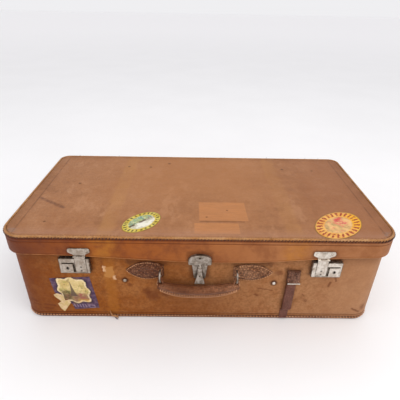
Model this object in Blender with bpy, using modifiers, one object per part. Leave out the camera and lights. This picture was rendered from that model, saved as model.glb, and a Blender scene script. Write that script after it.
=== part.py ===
"""Leather suitcase: hinged lid, two slide-button locks, a centre hasp and a carrying handle.

Metres, +Z up. The origin is on the floor under the middle of the case. +X runs to the right
along the front, and the front, with the locks and the handle, faces -Y.
"""

import math

import bmesh
import bpy
from mathutils import Matrix, Vector

# ---- Driving dimensions ----------------------------------------------------------------------
LID_W = 0.700
LID_D = 0.355
HEIGHT = 0.200
OVERHANG = 0.0075        # lid past the body, at the front and the sides
GAP = 0.0003             # clearance between pieces that touch
RUN = 0.0001             # radial clearance of a pin in its bore

# Leather-covered board shells
LID_WALL = 0.005
LID_TOP = 0.0045
BODY_WALL = 0.004
BODY_FLOOR = 0.004
LINING = 0.001
R_LID_FRONT = 0.041      # plan corner radii
R_LID_BACK = 0.022
R_BODY_FRONT = 0.035
R_BODY_BACK = 0.020
CORNER_STEPS = 8
COLLAR_TOP = 0.184       # the body's front and side walls reach up inside the lid
LINING_TOP = 0.156
SKIRT_Z = 0.160          # lower edge of the lid at the sides and the back
SKIRT_DIP = 0.0145       # how much lower the front edge hangs in its middle
SKIRT_DIP_X = 0.045
BACK_TRIM_Y = 0.150      # behind this line the body's walls stop under the lid
WELT = 0.0012            # thickness of the stitched edge bands
BOTTOM_WELT_TOP = 0.0128
LID_WELT_LOW = 0.188

HALF_W = LID_W / 2
HALF_D = LID_D / 2
BODY_HALF_W = HALF_W - OVERHANG
BODY_FRONT = -HALF_D + OVERHANG
LID_FRONT = -HALF_D
BACK = HALF_D

# Rear hinges
HINGE_X = 0.200
HINGE_Y = BACK + 0.0037
HINGE_R = 0.003
HINGE_PIN_R = 0.0015
LEAF_W = 0.044
LEAF_H = 0.021
LEAF_T = 0.0012
LEAF_RIVET_X, LEAF_RIVET_SHIFT = 0.014, 0.003

# Slide-button locks
LOCK_X = {"left": -0.2235, "right": 0.2290}
LOCK_LOW = {"left": 0.1206, "right": 0.1170}
LOCK_W = 0.054
LOCK_H = 0.0328
LOCK_FRONT = LID_FRONT - 0.0016
BUTTON_OUT = 0.0135      # button's middle, outward from the tongue's recess
BUTTON_SIZE = 0.0195
BUTTON_RAISE = 0.0122    # button's middle above the foot of the lock case
BUTTON_PROUD = 0.0010
WINDOW_DEPTH = 0.005
KEYHOLE_R, KEYHOLE_SLIT_R, KEYHOLE_H = 0.0016, 0.0010, 0.0034
TONGUE_GAP = 0.0005      # side clearance of the tongue in the lock case
STAPLE_SLOT_HALF = 0.0042
STAPLE_SLOT_RAISE = 0.0125

# Lock hasps, hung from the lid
HASP_X = {"left": -0.2120, "right": 0.2190}
HASP_PIN_Z = {"left": 0.1585, "right": 0.1570}
HASP_PIN_Y = LID_FRONT - 0.0022
HASP_KNUCKLE_R = 0.0019
HASP_PIN_R = 0.0009
HASP_HALF = 0.0105
HASP_MID = 0.0052
TONGUE_RAISE = 0.0025    # tongue's tip above the foot of the lock case
TONGUE_HALF = 0.00975
TONGUE_DOTS = (0.0182, 0.0060)
TONGUE_DOT_R = 0.0007
FLANGE_T = 0.0012
FLANGE_RIVET_X = 0.0130
FLANGE_RIVET_RAISE = 0.0122
LOBE_X, LOBE_R = 0.0145, 0.0054
STAPLE_HALF = 0.003
STAPLE_LOW, STAPLE_HIGH = 0.0150, 0.0210

# Centre hasp
MOON_HALF = 0.0205
MOON_LOW, MOON_SIDE, MOON_HIGH = 0.1457, 0.1560, 0.1668
MOON_T = 0.0055
CENTRE_PIN_Z = 0.158
CENTRE_PIN_Y = LID_FRONT - 0.0037
CENTRE_PIN_R = 0.0009
CENTRE_LOW = 0.0995
BALL_Z = 0.140
BALL_R = 0.0044
RIB_HALF, RIB_TOP = 0.0042, 0.1645
SLOT_HALF, SLOT_TOP = 0.0022, 0.1625
STEM_HALF, STEM_T = 0.0018, 0.0016
EYE_R = 0.0019
ARM_HALF_T = 0.0010
ARM_HOLE_R, ARM_HOLE_Z = 0.0015, 0.119
# half-widths of the arm's fish tail from its tip up to the ball, with their heights
ARM_TAIL = ((0.0095, 0.1011), (0.0078, 0.1085), (0.0056, 0.1165), (0.0042, 0.1250),
            (0.0036, 0.1340), (0.0036, BALL_Z))
BASE_LOW, BASE_HIGH = (0.0105, 0.105), (0.0150, 0.1445)
BASE_T = 0.0015
BOSS_HALF, BOSS_LOW, BOSS_HIGH, BOSS_FRONT = 0.005, 0.112, 0.128, 0.006

# Handle
RING_X = (-0.071, 0.067)
RING_R = 0.0105
RING_WIRE = 0.0017
RING_Y = BODY_FRONT - 0.0042 - RING_R
RING_Z = 0.121
EYE_PLAY = 0.00035       # clearance round the rings in the leather
CHAPE_TIP = 0.1350
CHAPE_INNER = 0.0055     # how far the chape reaches past the ring, towards the middle
CHAPE_SHIFT = {"left": 0.0012, "right": -0.0014}
CHAPE_HALF_H = {"left": 0.0203, "right": 0.0190}
CHAPE_T = 0.0075
CHAPE_PEAK, CHAPE_LEAN = 0.784, 0.8
GRIP_Y = RING_Y - 0.0003
GRIP_MID_Z = 0.0845
GRIP_END_Z = 0.0988
GRIP_MID_U = -0.06       # where the grip hangs lowest, as a share of its half length
GRIP_BOW = 2.2
GRIP_REACH = 0.0055      # grip past the rings' middles
GRIP_HALF_H = 0.0124
GRIP_HALF_T = 0.0090
GRIP_THIN = 0.36         # how much slimmer its ends are
GRIP_NARROW = 0.35       # how much slimmer its seam is than its roll
LOOP_HALF_W, LOOP_HALF_D = 0.0070, 0.0058
STUD_AT = {"left": (-0.1385, 0.0975), "right": (0.1392, 0.0940)}
STUD_R, STUD_H = 0.0034, 0.0024

# Strap keeper at the right
TAB_X0, TAB_X1 = 0.162, 0.186
TAB_LOW, TAB_HIGH = 0.0966, 0.1250
STRAP_X0, STRAP_X1 = 0.1620, 0.1800
STRAP_LOW = 0.0283
FOOT_X0, FOOT_X1 = 0.159, 0.175
FOOT_LOW = 0.0035
TAB_T, STRAP_BACK, STRAP_FRONT, FOOT_T = 0.0042, 0.0008, 0.0036, 0.0018
BAR_R, BAR_Y, BAR_SHIFT = 0.0012, 0.0030, 0.002

# Paper labels
LABEL_T = 0.0004
OVALS = {
    "label_oval": ((-0.1073, -0.1275), (0.0408, 0.0265), 49.0, "paper_oval"),
    "label_round": ((0.2530, -0.1295), (0.0550, 0.0355), 42.7, "paper_round"),
}
SQUARE = ((-0.279, 0.1001), (-0.204, 0.1048), (-0.194, 0.0258), (-0.242, 0.0212),
          (-0.258, 0.0370), (-0.268, 0.0580), (-0.2755, 0.0680))

# ---- Materials: base colour, metallic, roughness ----------------------------------------------
FINISHES = {
    "leather_case": ((0.42, 0.20, 0.085), 0.0, 0.55),
    "leather_edge": ((0.32, 0.14, 0.06), 0.0, 0.55),
    "leather_handle": ((0.23, 0.10, 0.06), 0.0, 0.50),
    "leather_strap": ((0.16, 0.06, 0.045), 0.0, 0.45),
    "lining_cloth": ((0.52, 0.44, 0.33), 0.0, 0.90),
    "nickel": ((0.62, 0.58, 0.52), 1.0, 0.35),
    "steel": ((0.45, 0.43, 0.40), 1.0, 0.40),
    "paper_oval": ((0.70, 0.62, 0.22), 0.0, 0.75),
    "paper_round": ((0.80, 0.48, 0.20), 0.0, 0.75),
    "paper_square": ((0.22, 0.18, 0.30), 0.0, 0.75),
}


# ---- Helpers ---------------------------------------------------------------------------------
def clear_scene():
    for obj in list(bpy.data.objects):
        bpy.data.objects.remove(obj, do_unlink=True)


def collection(name):
    made = bpy.data.collections.new(name)
    bpy.context.scene.collection.children.link(made)
    return made


def finish(slot):
    if slot in bpy.data.materials:
        return bpy.data.materials[slot]
    colour, metallic, roughness = FINISHES[slot]
    material = bpy.data.materials.new(slot)
    material.use_nodes = True
    shader = material.node_tree.nodes["Principled BSDF"]
    shader.inputs["Base Color"].default_value = (*colour, 1.0)
    shader.inputs["Metallic"].default_value = metallic
    shader.inputs["Roughness"].default_value = roughness
    return material


def part(name, mesh, slot, location=(0, 0, 0), rotation=(0, 0, 0)):
    """A named piece of the suitcase."""
    obj = bpy.data.objects.new(name, mesh)
    mesh.name = name
    mesh.materials.clear()
    mesh.materials.append(finish(slot))
    obj.location = location
    obj.rotation_euler = rotation
    PARTS.objects.link(obj)
    return obj


def cutter(obj):
    """Moves an object to the cutters, which aren't part of the suitcase."""
    PARTS.objects.unlink(obj)
    CUTTERS.objects.link(obj)
    obj.hide_render = True
    obj.display_type = "WIRE"
    return obj


def boolean(obj, other, operation="DIFFERENCE"):
    modifier = obj.modifiers.new(operation.lower(), "BOOLEAN")
    modifier.operation = operation
    modifier.solver = "EXACT"
    modifier.object = cutter(other) if other.name in PARTS.objects else other


def bevel(obj, width, segments=2, angle=30):
    modifier = obj.modifiers.new("rounding", "BEVEL")
    modifier.width = width
    modifier.segments = segments
    modifier.limit_method = "ANGLE"
    modifier.angle_limit = math.radians(angle)


def arc(centre, radius, start, stop, steps=CORNER_STEPS):
    """Points on an arc, angles in degrees; radius is one number or one each way."""
    rx, ry = radius if isinstance(radius, tuple) else (radius, radius)
    angles = [math.radians(start + (stop - start) * i / steps) for i in range(steps + 1)]
    return [(centre[0] + rx * math.cos(a), centre[1] + ry * math.sin(a)) for a in angles]


def rounded_plan(half_w, front, back, r_front, r_back, inset=0.0):
    """Plan outline of a case shell, with its own front and back corner radii."""
    hw, yf, yb = half_w - inset, front + inset, back - inset
    rf, rb = r_front - inset, r_back - inset
    return (arc((hw - rf, yf + rf), rf, -90, 0) + arc((hw - rb, yb - rb), rb, 0, 90)
            + arc((-hw + rb, yb - rb), rb, 90, 180) + arc((-hw + rf, yf + rf), rf, 180, 270))


def slab(name, outline, thickness, slot, location=(0, 0, 0), rotation=(0, 0, 0)):
    """A closed plate with the given outline in its local XY, centred on its local Z."""
    curve = bpy.data.curves.new(name + "_outline", "CURVE")
    curve.dimensions = "2D"
    curve.fill_mode = "BOTH"
    curve.extrude = thickness / 2
    spline = curve.splines.new("POLY")
    spline.points.add(len(outline) - 1)
    for point, (x, y) in zip(spline.points, outline):
        point.co = (x, y, 0, 1)
    spline.use_cyclic_u = True
    return meshed(name, curve, slot, location, rotation)


def meshed(name, curve, slot, location=(0, 0, 0), rotation=(0, 0, 0)):
    """Turns a curve into a mesh piece with its caps welded on."""
    guide = bpy.data.objects.new(name + "_guide", curve)
    PARTS.objects.link(guide)
    bpy.context.view_layer.update()
    evaluated = guide.evaluated_get(bpy.context.evaluated_depsgraph_get())
    mesh = bpy.data.meshes.new_from_object(evaluated)
    bpy.data.objects.remove(guide)
    bm = bmesh.new()
    bm.from_mesh(mesh)
    bmesh.ops.remove_doubles(bm, verts=bm.verts, dist=1e-6)
    bmesh.ops.recalc_face_normals(bm, faces=bm.faces)
    bm.to_mesh(mesh)
    bm.free()
    return part(name, mesh, slot, location, rotation)


def level_slab(name, outline, low, high, slot):
    """A slab that lies level between two heights."""
    return slab(name, outline, high - low, slot, location=(0, 0, (low + high) / 2))


FRONT_TURN = (math.pi / 2, 0, 0)     # local Y becomes +Z, local Z becomes -Y
BACK_TURN = (-math.pi / 2, 0, 0)     # local Z becomes +Y


def front_slab(name, outline, near, far, slot):
    """A slab whose outline is in X and Z, from y = near out to y = far."""
    return slab(name, outline, abs(near - far), slot, (0, (near + far) / 2, 0), FRONT_TURN)


def block(name, low, high, slot="steel"):
    """A box between two corners."""
    bm = bmesh.new()
    bmesh.ops.create_cube(bm, size=1.0)
    size = Vector(high) - Vector(low)
    bmesh.ops.scale(bm, verts=bm.verts, vec=size)
    mesh = bpy.data.meshes.new(name)
    bm.to_mesh(mesh)
    bm.free()
    return part(name, mesh, slot, location=(Vector(low) + Vector(high)) / 2)


def rod(name, radius, x0, x1, y, z, slot="steel", segments=16):
    """A round bar along X."""
    bm = bmesh.new()
    bmesh.ops.create_cone(bm, cap_ends=True, segments=segments, radius1=radius, radius2=radius,
                          depth=abs(x1 - x0))
    mesh = bpy.data.meshes.new(name)
    bm.to_mesh(mesh)
    bm.free()
    mesh.shade_smooth()
    mesh.set_sharp_from_angle(angle=math.radians(40))
    return part(name, mesh, slot, ((x0 + x1) / 2, y, z), (0, math.pi / 2, 0))


def bar(name, radius, low, high, centre, slot="steel", segments=12):
    """A round bar along Y, used for holes in front plates."""
    obj = rod(name, radius, low, high, 0, 0, slot, segments)
    obj.rotation_euler = FRONT_TURN
    obj.location = (centre[0], (low + high) / 2, centre[1])
    return obj


def ball(name, radius, centre, slot="nickel", stretch=(1, 1, 1)):
    bm = bmesh.new()
    bmesh.ops.create_uvsphere(bm, u_segments=14, v_segments=8, radius=radius)
    bmesh.ops.scale(bm, verts=bm.verts, vec=stretch)
    mesh = bpy.data.meshes.new(name)
    bm.to_mesh(mesh)
    bm.free()
    mesh.shade_smooth()
    return part(name, mesh, slot, centre)


def torus(name, major, minor, centre, slot="nickel"):
    """A ring that stands in the YZ plane, its axis along X."""
    bpy.ops.mesh.primitive_torus_add(major_radius=major, minor_radius=minor, major_segments=24,
                                     minor_segments=8)
    made = bpy.context.active_object
    mesh = made.data
    bpy.data.objects.remove(made)
    mesh.shade_smooth()
    return part(name, mesh, slot, centre, (0, math.pi / 2, 0))


def turned(name, profile, slot, location, rotation, steps=16):
    """A turned piece: the profile runs from the top of the axis down its outside."""
    mesh = bpy.data.meshes.new(name)
    edges = [(i, i + 1) for i in range(len(profile) - 1)]
    mesh.from_pydata([(r, 0, z) for r, z in profile], edges, [])
    obj = part(name, mesh, slot, location, rotation)
    screw = obj.modifiers.new("turn", "SCREW")
    screw.axis = "Z"
    screw.steps = steps
    screw.render_steps = steps
    screw.use_merge_vertices = True
    screw.merge_threshold = 0.00001
    screw.use_smooth_shade = True
    return obj


def rivet(name, head_r, head_h, shank_r, shank, location, rotation, slot="nickel"):
    """A domed rivet: its head stands on local z = 0 and its shank runs down from there."""
    dome = [(head_r * math.sin(a), head_h * math.cos(a))
            for a in (math.radians(15 * i) for i in range(7))]
    profile = dome[:-1] + [(head_r, 0), (shank_r, 0), (shank_r, -shank), (0, -shank)]
    return turned(name, profile, slot, location, rotation, steps=12)


def joint_empty(name, location, children):
    """An empty on a joint's axis, which carries the pieces that move with it."""
    empty = bpy.data.objects.new(name, None)
    empty.location = location
    empty.empty_display_size = 0.02
    PARTS.objects.link(empty)
    for child in children:
        child.parent = empty
        child.matrix_parent_inverse = Matrix.Translation(Vector(location)).inverted()
    return empty


# ---- Shells ----------------------------------------------------------------------------------
def body_plan(inset=0.0):
    return rounded_plan(BODY_HALF_W, BODY_FRONT, BACK, R_BODY_FRONT, R_BODY_BACK, inset)


def lid_plan(inset=0.0):
    return rounded_plan(HALF_W, LID_FRONT, BACK, R_LID_FRONT, R_LID_BACK, inset)


def make_body():
    """The lower half: a plinth inside the bottom band, walls, and a collar that the lid covers."""
    rebate = WELT + GAP
    shell = level_slab("body_shell", body_plan(), BOTTOM_WELT_TOP + GAP, COLLAR_TOP, "leather_case")
    plinth = level_slab("body_plinth", body_plan(rebate), 0, BOTTOM_WELT_TOP + 0.008, "leather_case")
    boolean(shell, plinth, "UNION")
    hollow = level_slab("body_hollow", body_plan(BODY_WALL), BODY_FLOOR, HEIGHT, "leather_case")
    boolean(shell, hollow)
    reach = HALF_W + 0.02
    boolean(shell, block("body_back_trim", (-reach, BACK_TRIM_Y, SKIRT_Z - GAP),
                         (reach, BACK + 0.02, HEIGHT)))

    lining = level_slab("body_lining", body_plan(BODY_WALL + GAP), BODY_FLOOR + GAP, LINING_TOP,
                        "lining_cloth")
    boolean(lining, level_slab("lining_hollow", body_plan(BODY_WALL + GAP + LINING),
                               BODY_FLOOR + GAP + LINING, HEIGHT, "lining_cloth"))

    band = level_slab("bottom_welt", body_plan(), GAP, BOTTOM_WELT_TOP, "leather_edge")
    boolean(band, level_slab("bottom_welt_inside", body_plan(WELT), -0.01, 0.05, "leather_edge"))


def skirt_edge():
    """The front skirt's lower edge: level near the corners, and hanging in a shallow bow between."""
    reach = HALF_W - R_LID_FRONT
    steps = 16
    edge = []
    for i in range(steps + 1):
        x = -reach + 2 * reach * i / steps
        side = reach + SKIRT_DIP_X if x < SKIRT_DIP_X else reach - SKIRT_DIP_X
        bow = 0.5 * (1 + math.cos(math.pi * abs(x - SKIRT_DIP_X) / side))
        edge.append((x, SKIRT_Z - SKIRT_DIP * bow))
    return edge


def make_lid():
    """The upper half: a top board with a deep skirt, and the band along its top edge."""
    rebate = WELT + GAP
    low = SKIRT_Z - SKIRT_DIP - 0.002
    shell = level_slab("lid_shell", lid_plan(), low, LID_WELT_LOW - GAP, "leather_case")
    cap = level_slab("lid_cap", lid_plan(rebate), LID_WELT_LOW - 0.008, HEIGHT, "leather_case")
    boolean(shell, cap, "UNION")
    boolean(shell, level_slab("lid_hollow", lid_plan(LID_WALL), 0.10, HEIGHT - LID_TOP, "leather_case"))
    reach = HALF_W + 0.02
    front_cut = LID_FRONT + R_LID_FRONT
    boolean(shell, block("skirt_trim", (-reach, front_cut, 0.12), (reach, BACK + 0.02, SKIRT_Z)))
    bow = [(-reach, 0.12), (reach, 0.12), (reach, SKIRT_Z)] + skirt_edge()[::-1] + [(-reach, SKIRT_Z)]
    boolean(shell, front_slab("skirt_bow", bow, front_cut + 0.001, LID_FRONT - 0.02, "leather_case"))

    lining = level_slab("lid_lining", lid_plan(LID_WALL + 0.002), HEIGHT - LID_TOP - GAP - LINING,
                        HEIGHT - LID_TOP - GAP, "lining_cloth")

    band = level_slab("lid_welt", lid_plan(), LID_WELT_LOW, HEIGHT - GAP, "leather_edge")
    boolean(band, level_slab("lid_welt_inside", lid_plan(WELT), 0.18, 0.21, "leather_edge"))
    return [shell, lining, band]


# ---- Rear hinges -----------------------------------------------------------------------------
def make_hinge(side, tag):
    """A butt hinge: two outer knuckles on the body's leaf, one between them on the lid's leaf."""
    x = side * HINGE_X
    near, far = BACK + GAP, BACK + GAP + LEAF_T
    half, mid = LEAF_W / 2, LEAF_W / 5
    on_lid = []
    for owner, z0, z1, spans, others in (
        ("body", SKIRT_Z - LEAF_H, SKIRT_Z - GAP, ((-half, -mid - GAP), (mid + GAP, half)),
         ((-mid - GAP, mid + GAP),)),
        ("lid", SKIRT_Z + GAP, SKIRT_Z + LEAF_H, ((-mid, mid),),
         ((-half - GAP, -mid), (mid, half + GAP))),
    ):
        leaf = block(f"hinge_leaf_{owner}_{tag}", (x - half, near, z0), (x + half, far, z1))
        for i, (a, b) in enumerate(spans):
            boolean(leaf, rod(f"knuckle_{owner}_{tag}_{i}", HINGE_R, x + a, x + b, HINGE_Y, SKIRT_Z),
                    "UNION")
        for i, (a, b) in enumerate(others):
            boolean(leaf, rod(f"relief_{owner}_{tag}_{i}", HINGE_R + GAP, x + a, x + b, HINGE_Y, SKIRT_Z))
        boolean(leaf, rod(f"bore_{owner}_{tag}", HINGE_PIN_R + RUN, x - half - 0.002,
                          x + half + 0.002, HINGE_Y, SKIRT_Z))
        pieces = [leaf]
        away = LEAF_RIVET_SHIFT if owner == "lid" else -LEAF_RIVET_SHIFT
        for rivet_side, rivet_tag in ((-1, "a"), (1, "b")):
            at = (x + rivet_side * LEAF_RIVET_X, (z0 + z1) / 2 + away)
            boolean(leaf, bar(f"rivet_hole_{owner}_{tag}_{rivet_tag}", 0.0013, near - 0.002,
                              far + 0.002, at))
            pieces.append(rivet(f"hinge_rivet_{owner}_{tag}_{rivet_tag}", 0.0025, 0.0010, 0.0010,
                                LEAF_T + GAP, (at[0], far + GAP, at[1]), BACK_TURN, "steel"))
        if owner == "lid":
            on_lid = pieces
    rod(f"hinge_pin_{tag}", HINGE_PIN_R, x - half, x + half, HINGE_Y, SKIRT_Z)
    return on_lid


# ---- Slide-button locks and their hasps ------------------------------------------------------
def make_lock(side, tag):
    """A lock case on the body's front, with a sprung slide button that carries the keyhole."""
    back, front = BODY_FRONT - GAP, LOCK_FRONT
    x, foot = LOCK_X[tag], LOCK_LOW[tag]
    above = foot + LOCK_H + 0.01
    case = block(f"lock_case_{tag}", (x - LOCK_W / 2, front, foot),
                 (x + LOCK_W / 2, back, foot + LOCK_H), "nickel")
    bevel(case, 0.0008)
    hasp = HASP_X[tag]
    recess = TONGUE_HALF + TONGUE_GAP
    recess_low = foot + TONGUE_RAISE - 0.0006
    boolean(case, block(f"tongue_recess_{tag}", (hasp - recess, front - 0.002, recess_low),
                        (hasp + recess, LID_FRONT, above)))
    boolean(case, block(f"staple_slot_{tag}", (hasp - STAPLE_SLOT_HALF, front - 0.002,
                                               foot + STAPLE_SLOT_RAISE),
                        (hasp + STAPLE_SLOT_HALF, front + 0.0055, above)))
    half = BUTTON_SIZE / 2
    bx, bz = hasp + side * (recess + BUTTON_OUT), foot + BUTTON_RAISE
    outer, inner = bx + side * (half + GAP), hasp + side * (recess - 0.0007)
    boolean(case, block(f"button_window_{tag}", (min(outer, inner), front - 0.002, bz - half - GAP),
                        (max(outer, inner), front + WINDOW_DEPTH, bz + half + 0.002)))

    button = block(f"lock_button_{tag}", (bx - half, front - BUTTON_PROUD, bz - half),
                   (bx + half, front + WINDOW_DEPTH - GAP, bz + half), "nickel")
    bevel(button, 0.0010)
    keyhole = (arc((bx, bz + KEYHOLE_H / 2), KEYHOLE_R, 0, 180, 6)
               + arc((bx, bz - KEYHOLE_H / 2), KEYHOLE_SLIT_R, 180, 360, 4))
    boolean(button, front_slab(f"keyhole_{tag}", keyhole, front + 0.0025, front - 0.004, "steel"))
    joint_empty(f"button_slide_{tag}", (bx, front, bz), [button])


def flange_outline(cx, pin_z):
    """Two round lobes over the rivets, narrowing to the knuckles below."""
    lobe = arc((LOBE_X, pin_z + FLANGE_RIVET_RAISE), LOBE_R, -50, 90)
    right = [(HASP_HALF, pin_z + 0.0023), (HASP_HALF + 0.0006, pin_z + 0.0045)] + lobe
    left = [(-x, z) for x, z in right[::-1]]
    return [(cx + x, z) for x, z in right + left]


def make_lock_hasp(tag):
    """A riveted flange on the lid, and the tongue that folds down over the lock case."""
    x, pin_z, foot = HASP_X[tag], HASP_PIN_Z[tag], LOCK_LOW[tag]
    near, far = LID_FRONT - GAP, LID_FRONT - GAP - FLANGE_T
    flange = front_slab(f"hasp_flange_{tag}", flange_outline(x, pin_z), near, far, "nickel")
    bevel(flange, 0.0003, 1)
    clear = HASP_MID + GAP
    pieces = [flange]
    for end in (-1, 1):
        a, b = sorted((x + end * clear, x + end * HASP_HALF))
        inset = 0.0002
        boolean(flange, block(f"web_{tag}_{end}", (a + inset, far + inset, pin_z),
                              (b - inset, near - inset, pin_z + 0.005)), "UNION")
        boolean(flange, rod(f"flange_knuckle_{tag}_{end}", HASP_KNUCKLE_R, a, b, HASP_PIN_Y, pin_z),
                "UNION")
        at = (x + end * FLANGE_RIVET_X, pin_z + FLANGE_RIVET_RAISE)
        boolean(flange, bar(f"flange_hole_{tag}_{end}", 0.0013, far - 0.002, near + 0.002, at))
        pieces.append(rivet(f"hasp_rivet_{tag}_{'a' if end < 0 else 'b'}", 0.0024, 0.0009, 0.0010,
                            FLANGE_T + GAP, (at[0], far - GAP, at[1]), FRONT_TURN))
    boolean(flange, rod(f"flange_bore_{tag}", HASP_PIN_R + RUN, x - 0.013, x + 0.013, HASP_PIN_Y, pin_z))
    pieces.append(rod(f"hasp_pin_{tag}", HASP_PIN_R, x - HASP_HALF, x + HASP_HALF, HASP_PIN_Y, pin_z,
                      "nickel"))

    t_back, t_front = LID_FRONT - GAP, LOCK_FRONT - 0.0004
    corner, low, shoulder = 0.002, foot + TONGUE_RAISE, pin_z - 0.0025
    right = (arc((TONGUE_HALF - corner, low + corner), corner, -90, 0, 4)
             + [(TONGUE_HALF, shoulder), (HASP_MID, shoulder), (HASP_MID, pin_z)])
    tongue = front_slab(f"hasp_tongue_{tag}",
                        [(x + px, z) for px, z in right + [(-px, z) for px, z in right[::-1]]],
                        t_back, t_front, "nickel")
    bevel(tongue, 0.0003, 1)
    boolean(tongue, rod(f"tongue_knuckle_{tag}", HASP_KNUCKLE_R, x - HASP_MID, x + HASP_MID,
                        HASP_PIN_Y, pin_z), "UNION")
    boolean(tongue, block(f"staple_{tag}", (x - STAPLE_HALF, t_front + 0.0008, foot + STAPLE_LOW),
                          (x + STAPLE_HALF, t_back + 0.0028, foot + STAPLE_HIGH)), "UNION")
    for i, raised in enumerate(TONGUE_DOTS):
        boolean(tongue, bar(f"tongue_dot_{tag}_{i}", TONGUE_DOT_R, t_front - 0.001, t_front + 0.0006,
                            (x, foot + raised), segments=8))
    boolean(tongue, rod(f"tongue_bore_{tag}", HASP_PIN_R + RUN, x - 0.013, x + 0.013, HASP_PIN_Y, pin_z))
    joint_empty(f"hasp_swing_{tag}", (x, HASP_PIN_Y, pin_z), [tongue])
    return pieces


# ---- Centre hasp -----------------------------------------------------------------------------
def moon_outline(inset=0.0):
    """Half-moon plate: a level foot with rounded corners, upright sides and an arched top."""
    w, low = MOON_HALF - inset, MOON_LOW + inset
    r = 0.003 - min(inset, 0.002)
    top = arc((0, MOON_SIDE), (w, MOON_HIGH - MOON_SIDE - inset), 0, 180, 14)
    return arc((w - r, low + r), r, -90, 0, 4) + top + arc((-w + r, low + r), r, 180, 270, 4)


def make_centre_hasp():
    """A half-moon casing on the lid, and the fish-tailed arm that hangs from the pin inside it."""
    near, far = LID_FRONT - GAP, LID_FRONT - GAP - MOON_T
    casing = front_slab("centre_casing", moon_outline(), near, far, "nickel")
    bevel(casing, 0.0008)
    boolean(casing, front_slab("casing_face", moon_outline(0.0022), far + 0.0009, far - 0.003,
                               "nickel"))
    rib = block("casing_rib", (-RIB_HALF, far - 0.0001, MOON_LOW + 0.0004),
                (RIB_HALF, far + 0.003, RIB_TOP), "nickel")
    bevel(rib, 0.0006, 1)
    boolean(casing, rib, "UNION")
    boolean(casing, block("casing_slot", (-SLOT_HALF, far - 0.003, BALL_Z),
                          (SLOT_HALF, near - 0.0012, SLOT_TOP)))
    boolean(casing, rod("casing_bore", CENTRE_PIN_R + RUN, -0.0062, 0.0062, CENTRE_PIN_Y,
                        CENTRE_PIN_Z))
    pin = rod("centre_pin", CENTRE_PIN_R, -0.0058, 0.0058, CENTRE_PIN_Y, CENTRE_PIN_Z, "nickel")

    arm_back, arm_front = CENTRE_PIN_Y + ARM_HALF_T, CENTRE_PIN_Y - ARM_HALF_T
    tip = [(0.0, CENTRE_LOW + 0.0006), (0.0080, CENTRE_LOW)]
    outline = tip + list(ARM_TAIL) + [(-x, z) for x, z in ARM_TAIL[::-1]] + [(-tip[1][0], tip[1][1])]
    arm = front_slab("centre_hasp", outline, arm_back, arm_front, "nickel")
    bevel(arm, 0.0004, 1)
    boolean(arm, ball("hasp_ball", BALL_R, (0, CENTRE_PIN_Y, BALL_Z)), "UNION")
    boolean(arm, block("hasp_stem", (-STEM_HALF, CENTRE_PIN_Y - STEM_T, BALL_Z),
                       (STEM_HALF, CENTRE_PIN_Y + STEM_T, CENTRE_PIN_Z)), "UNION")
    boolean(arm, rod("hasp_eye", EYE_R, -STEM_HALF, STEM_HALF, CENTRE_PIN_Y, CENTRE_PIN_Z), "UNION")
    boolean(arm, rod("hasp_bore", CENTRE_PIN_R + RUN, -0.008, 0.008, CENTRE_PIN_Y, CENTRE_PIN_Z))
    boolean(arm, bar("hasp_hole", ARM_HOLE_R, arm_front - 0.001, arm_back + 0.001, (0, ARM_HOLE_Z)))
    joint_empty("centre_swing", (0, CENTRE_PIN_Y, CENTRE_PIN_Z), [arm])

    plate = front_slab("centre_base_plate",
                       [BASE_LOW, BASE_HIGH, (-BASE_HIGH[0], BASE_HIGH[1]), (-BASE_LOW[0], BASE_LOW[1])],
                       BODY_FRONT - GAP, BODY_FRONT - GAP - BASE_T, "nickel")
    bevel(plate, 0.0004, 1)
    boss = block("base_boss", (-BOSS_HALF, BODY_FRONT - BOSS_FRONT, BOSS_LOW),
                 (BOSS_HALF, BODY_FRONT - GAP - BASE_T / 2, BOSS_HIGH), "nickel")
    bevel(boss, 0.0008, 1)
    boolean(plate, boss, "UNION")
    return [casing, pin]


# ---- Handle ----------------------------------------------------------------------------------
def chape_outline(side, tag, ring_x):
    """A leaf: pointed outwards, widest near its middle, and narrow where it folds over the ring."""
    inner = ring_x - side * CHAPE_INNER
    length = CHAPE_TIP - abs(inner)
    middle = RING_Z + CHAPE_SHIFT[tag]
    steps = 14
    upper = []
    for i in range(steps + 1):
        s = i / steps
        half = CHAPE_HALF_H[tag] * math.sin(CHAPE_PEAK * math.pi * s ** CHAPE_LEAN)
        upper.append((side * (CHAPE_TIP - length * s), half))
    top = [(x, middle + h) for x, h in upper]
    bottom = [(x, middle - h) for x, h in upper[1:]]
    return top + bottom[::-1]


def egg_profile():
    """Section of the grip: a round roll above, drawn down into the sewn seam."""
    curve = bpy.data.curves.new("grip_section", "CURVE")
    curve.dimensions = "2D"
    count = 14
    spline = curve.splines.new("POLY")
    spline.points.add(count - 1)
    for i, point in enumerate(spline.points):
        a = 2 * math.pi * i / count
        narrow = 1.0 - GRIP_NARROW * max(0.0, -math.sin(a)) ** 2
        point.co = (GRIP_HALF_T * math.cos(a) * narrow, GRIP_HALF_H * math.sin(a), 0, 1)
    spline.use_cyclic_u = True
    profile = bpy.data.objects.new("grip_section", curve)
    CUTTERS.objects.link(profile)
    profile.hide_render = True
    profile.display_type = "WIRE"
    return profile


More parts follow.
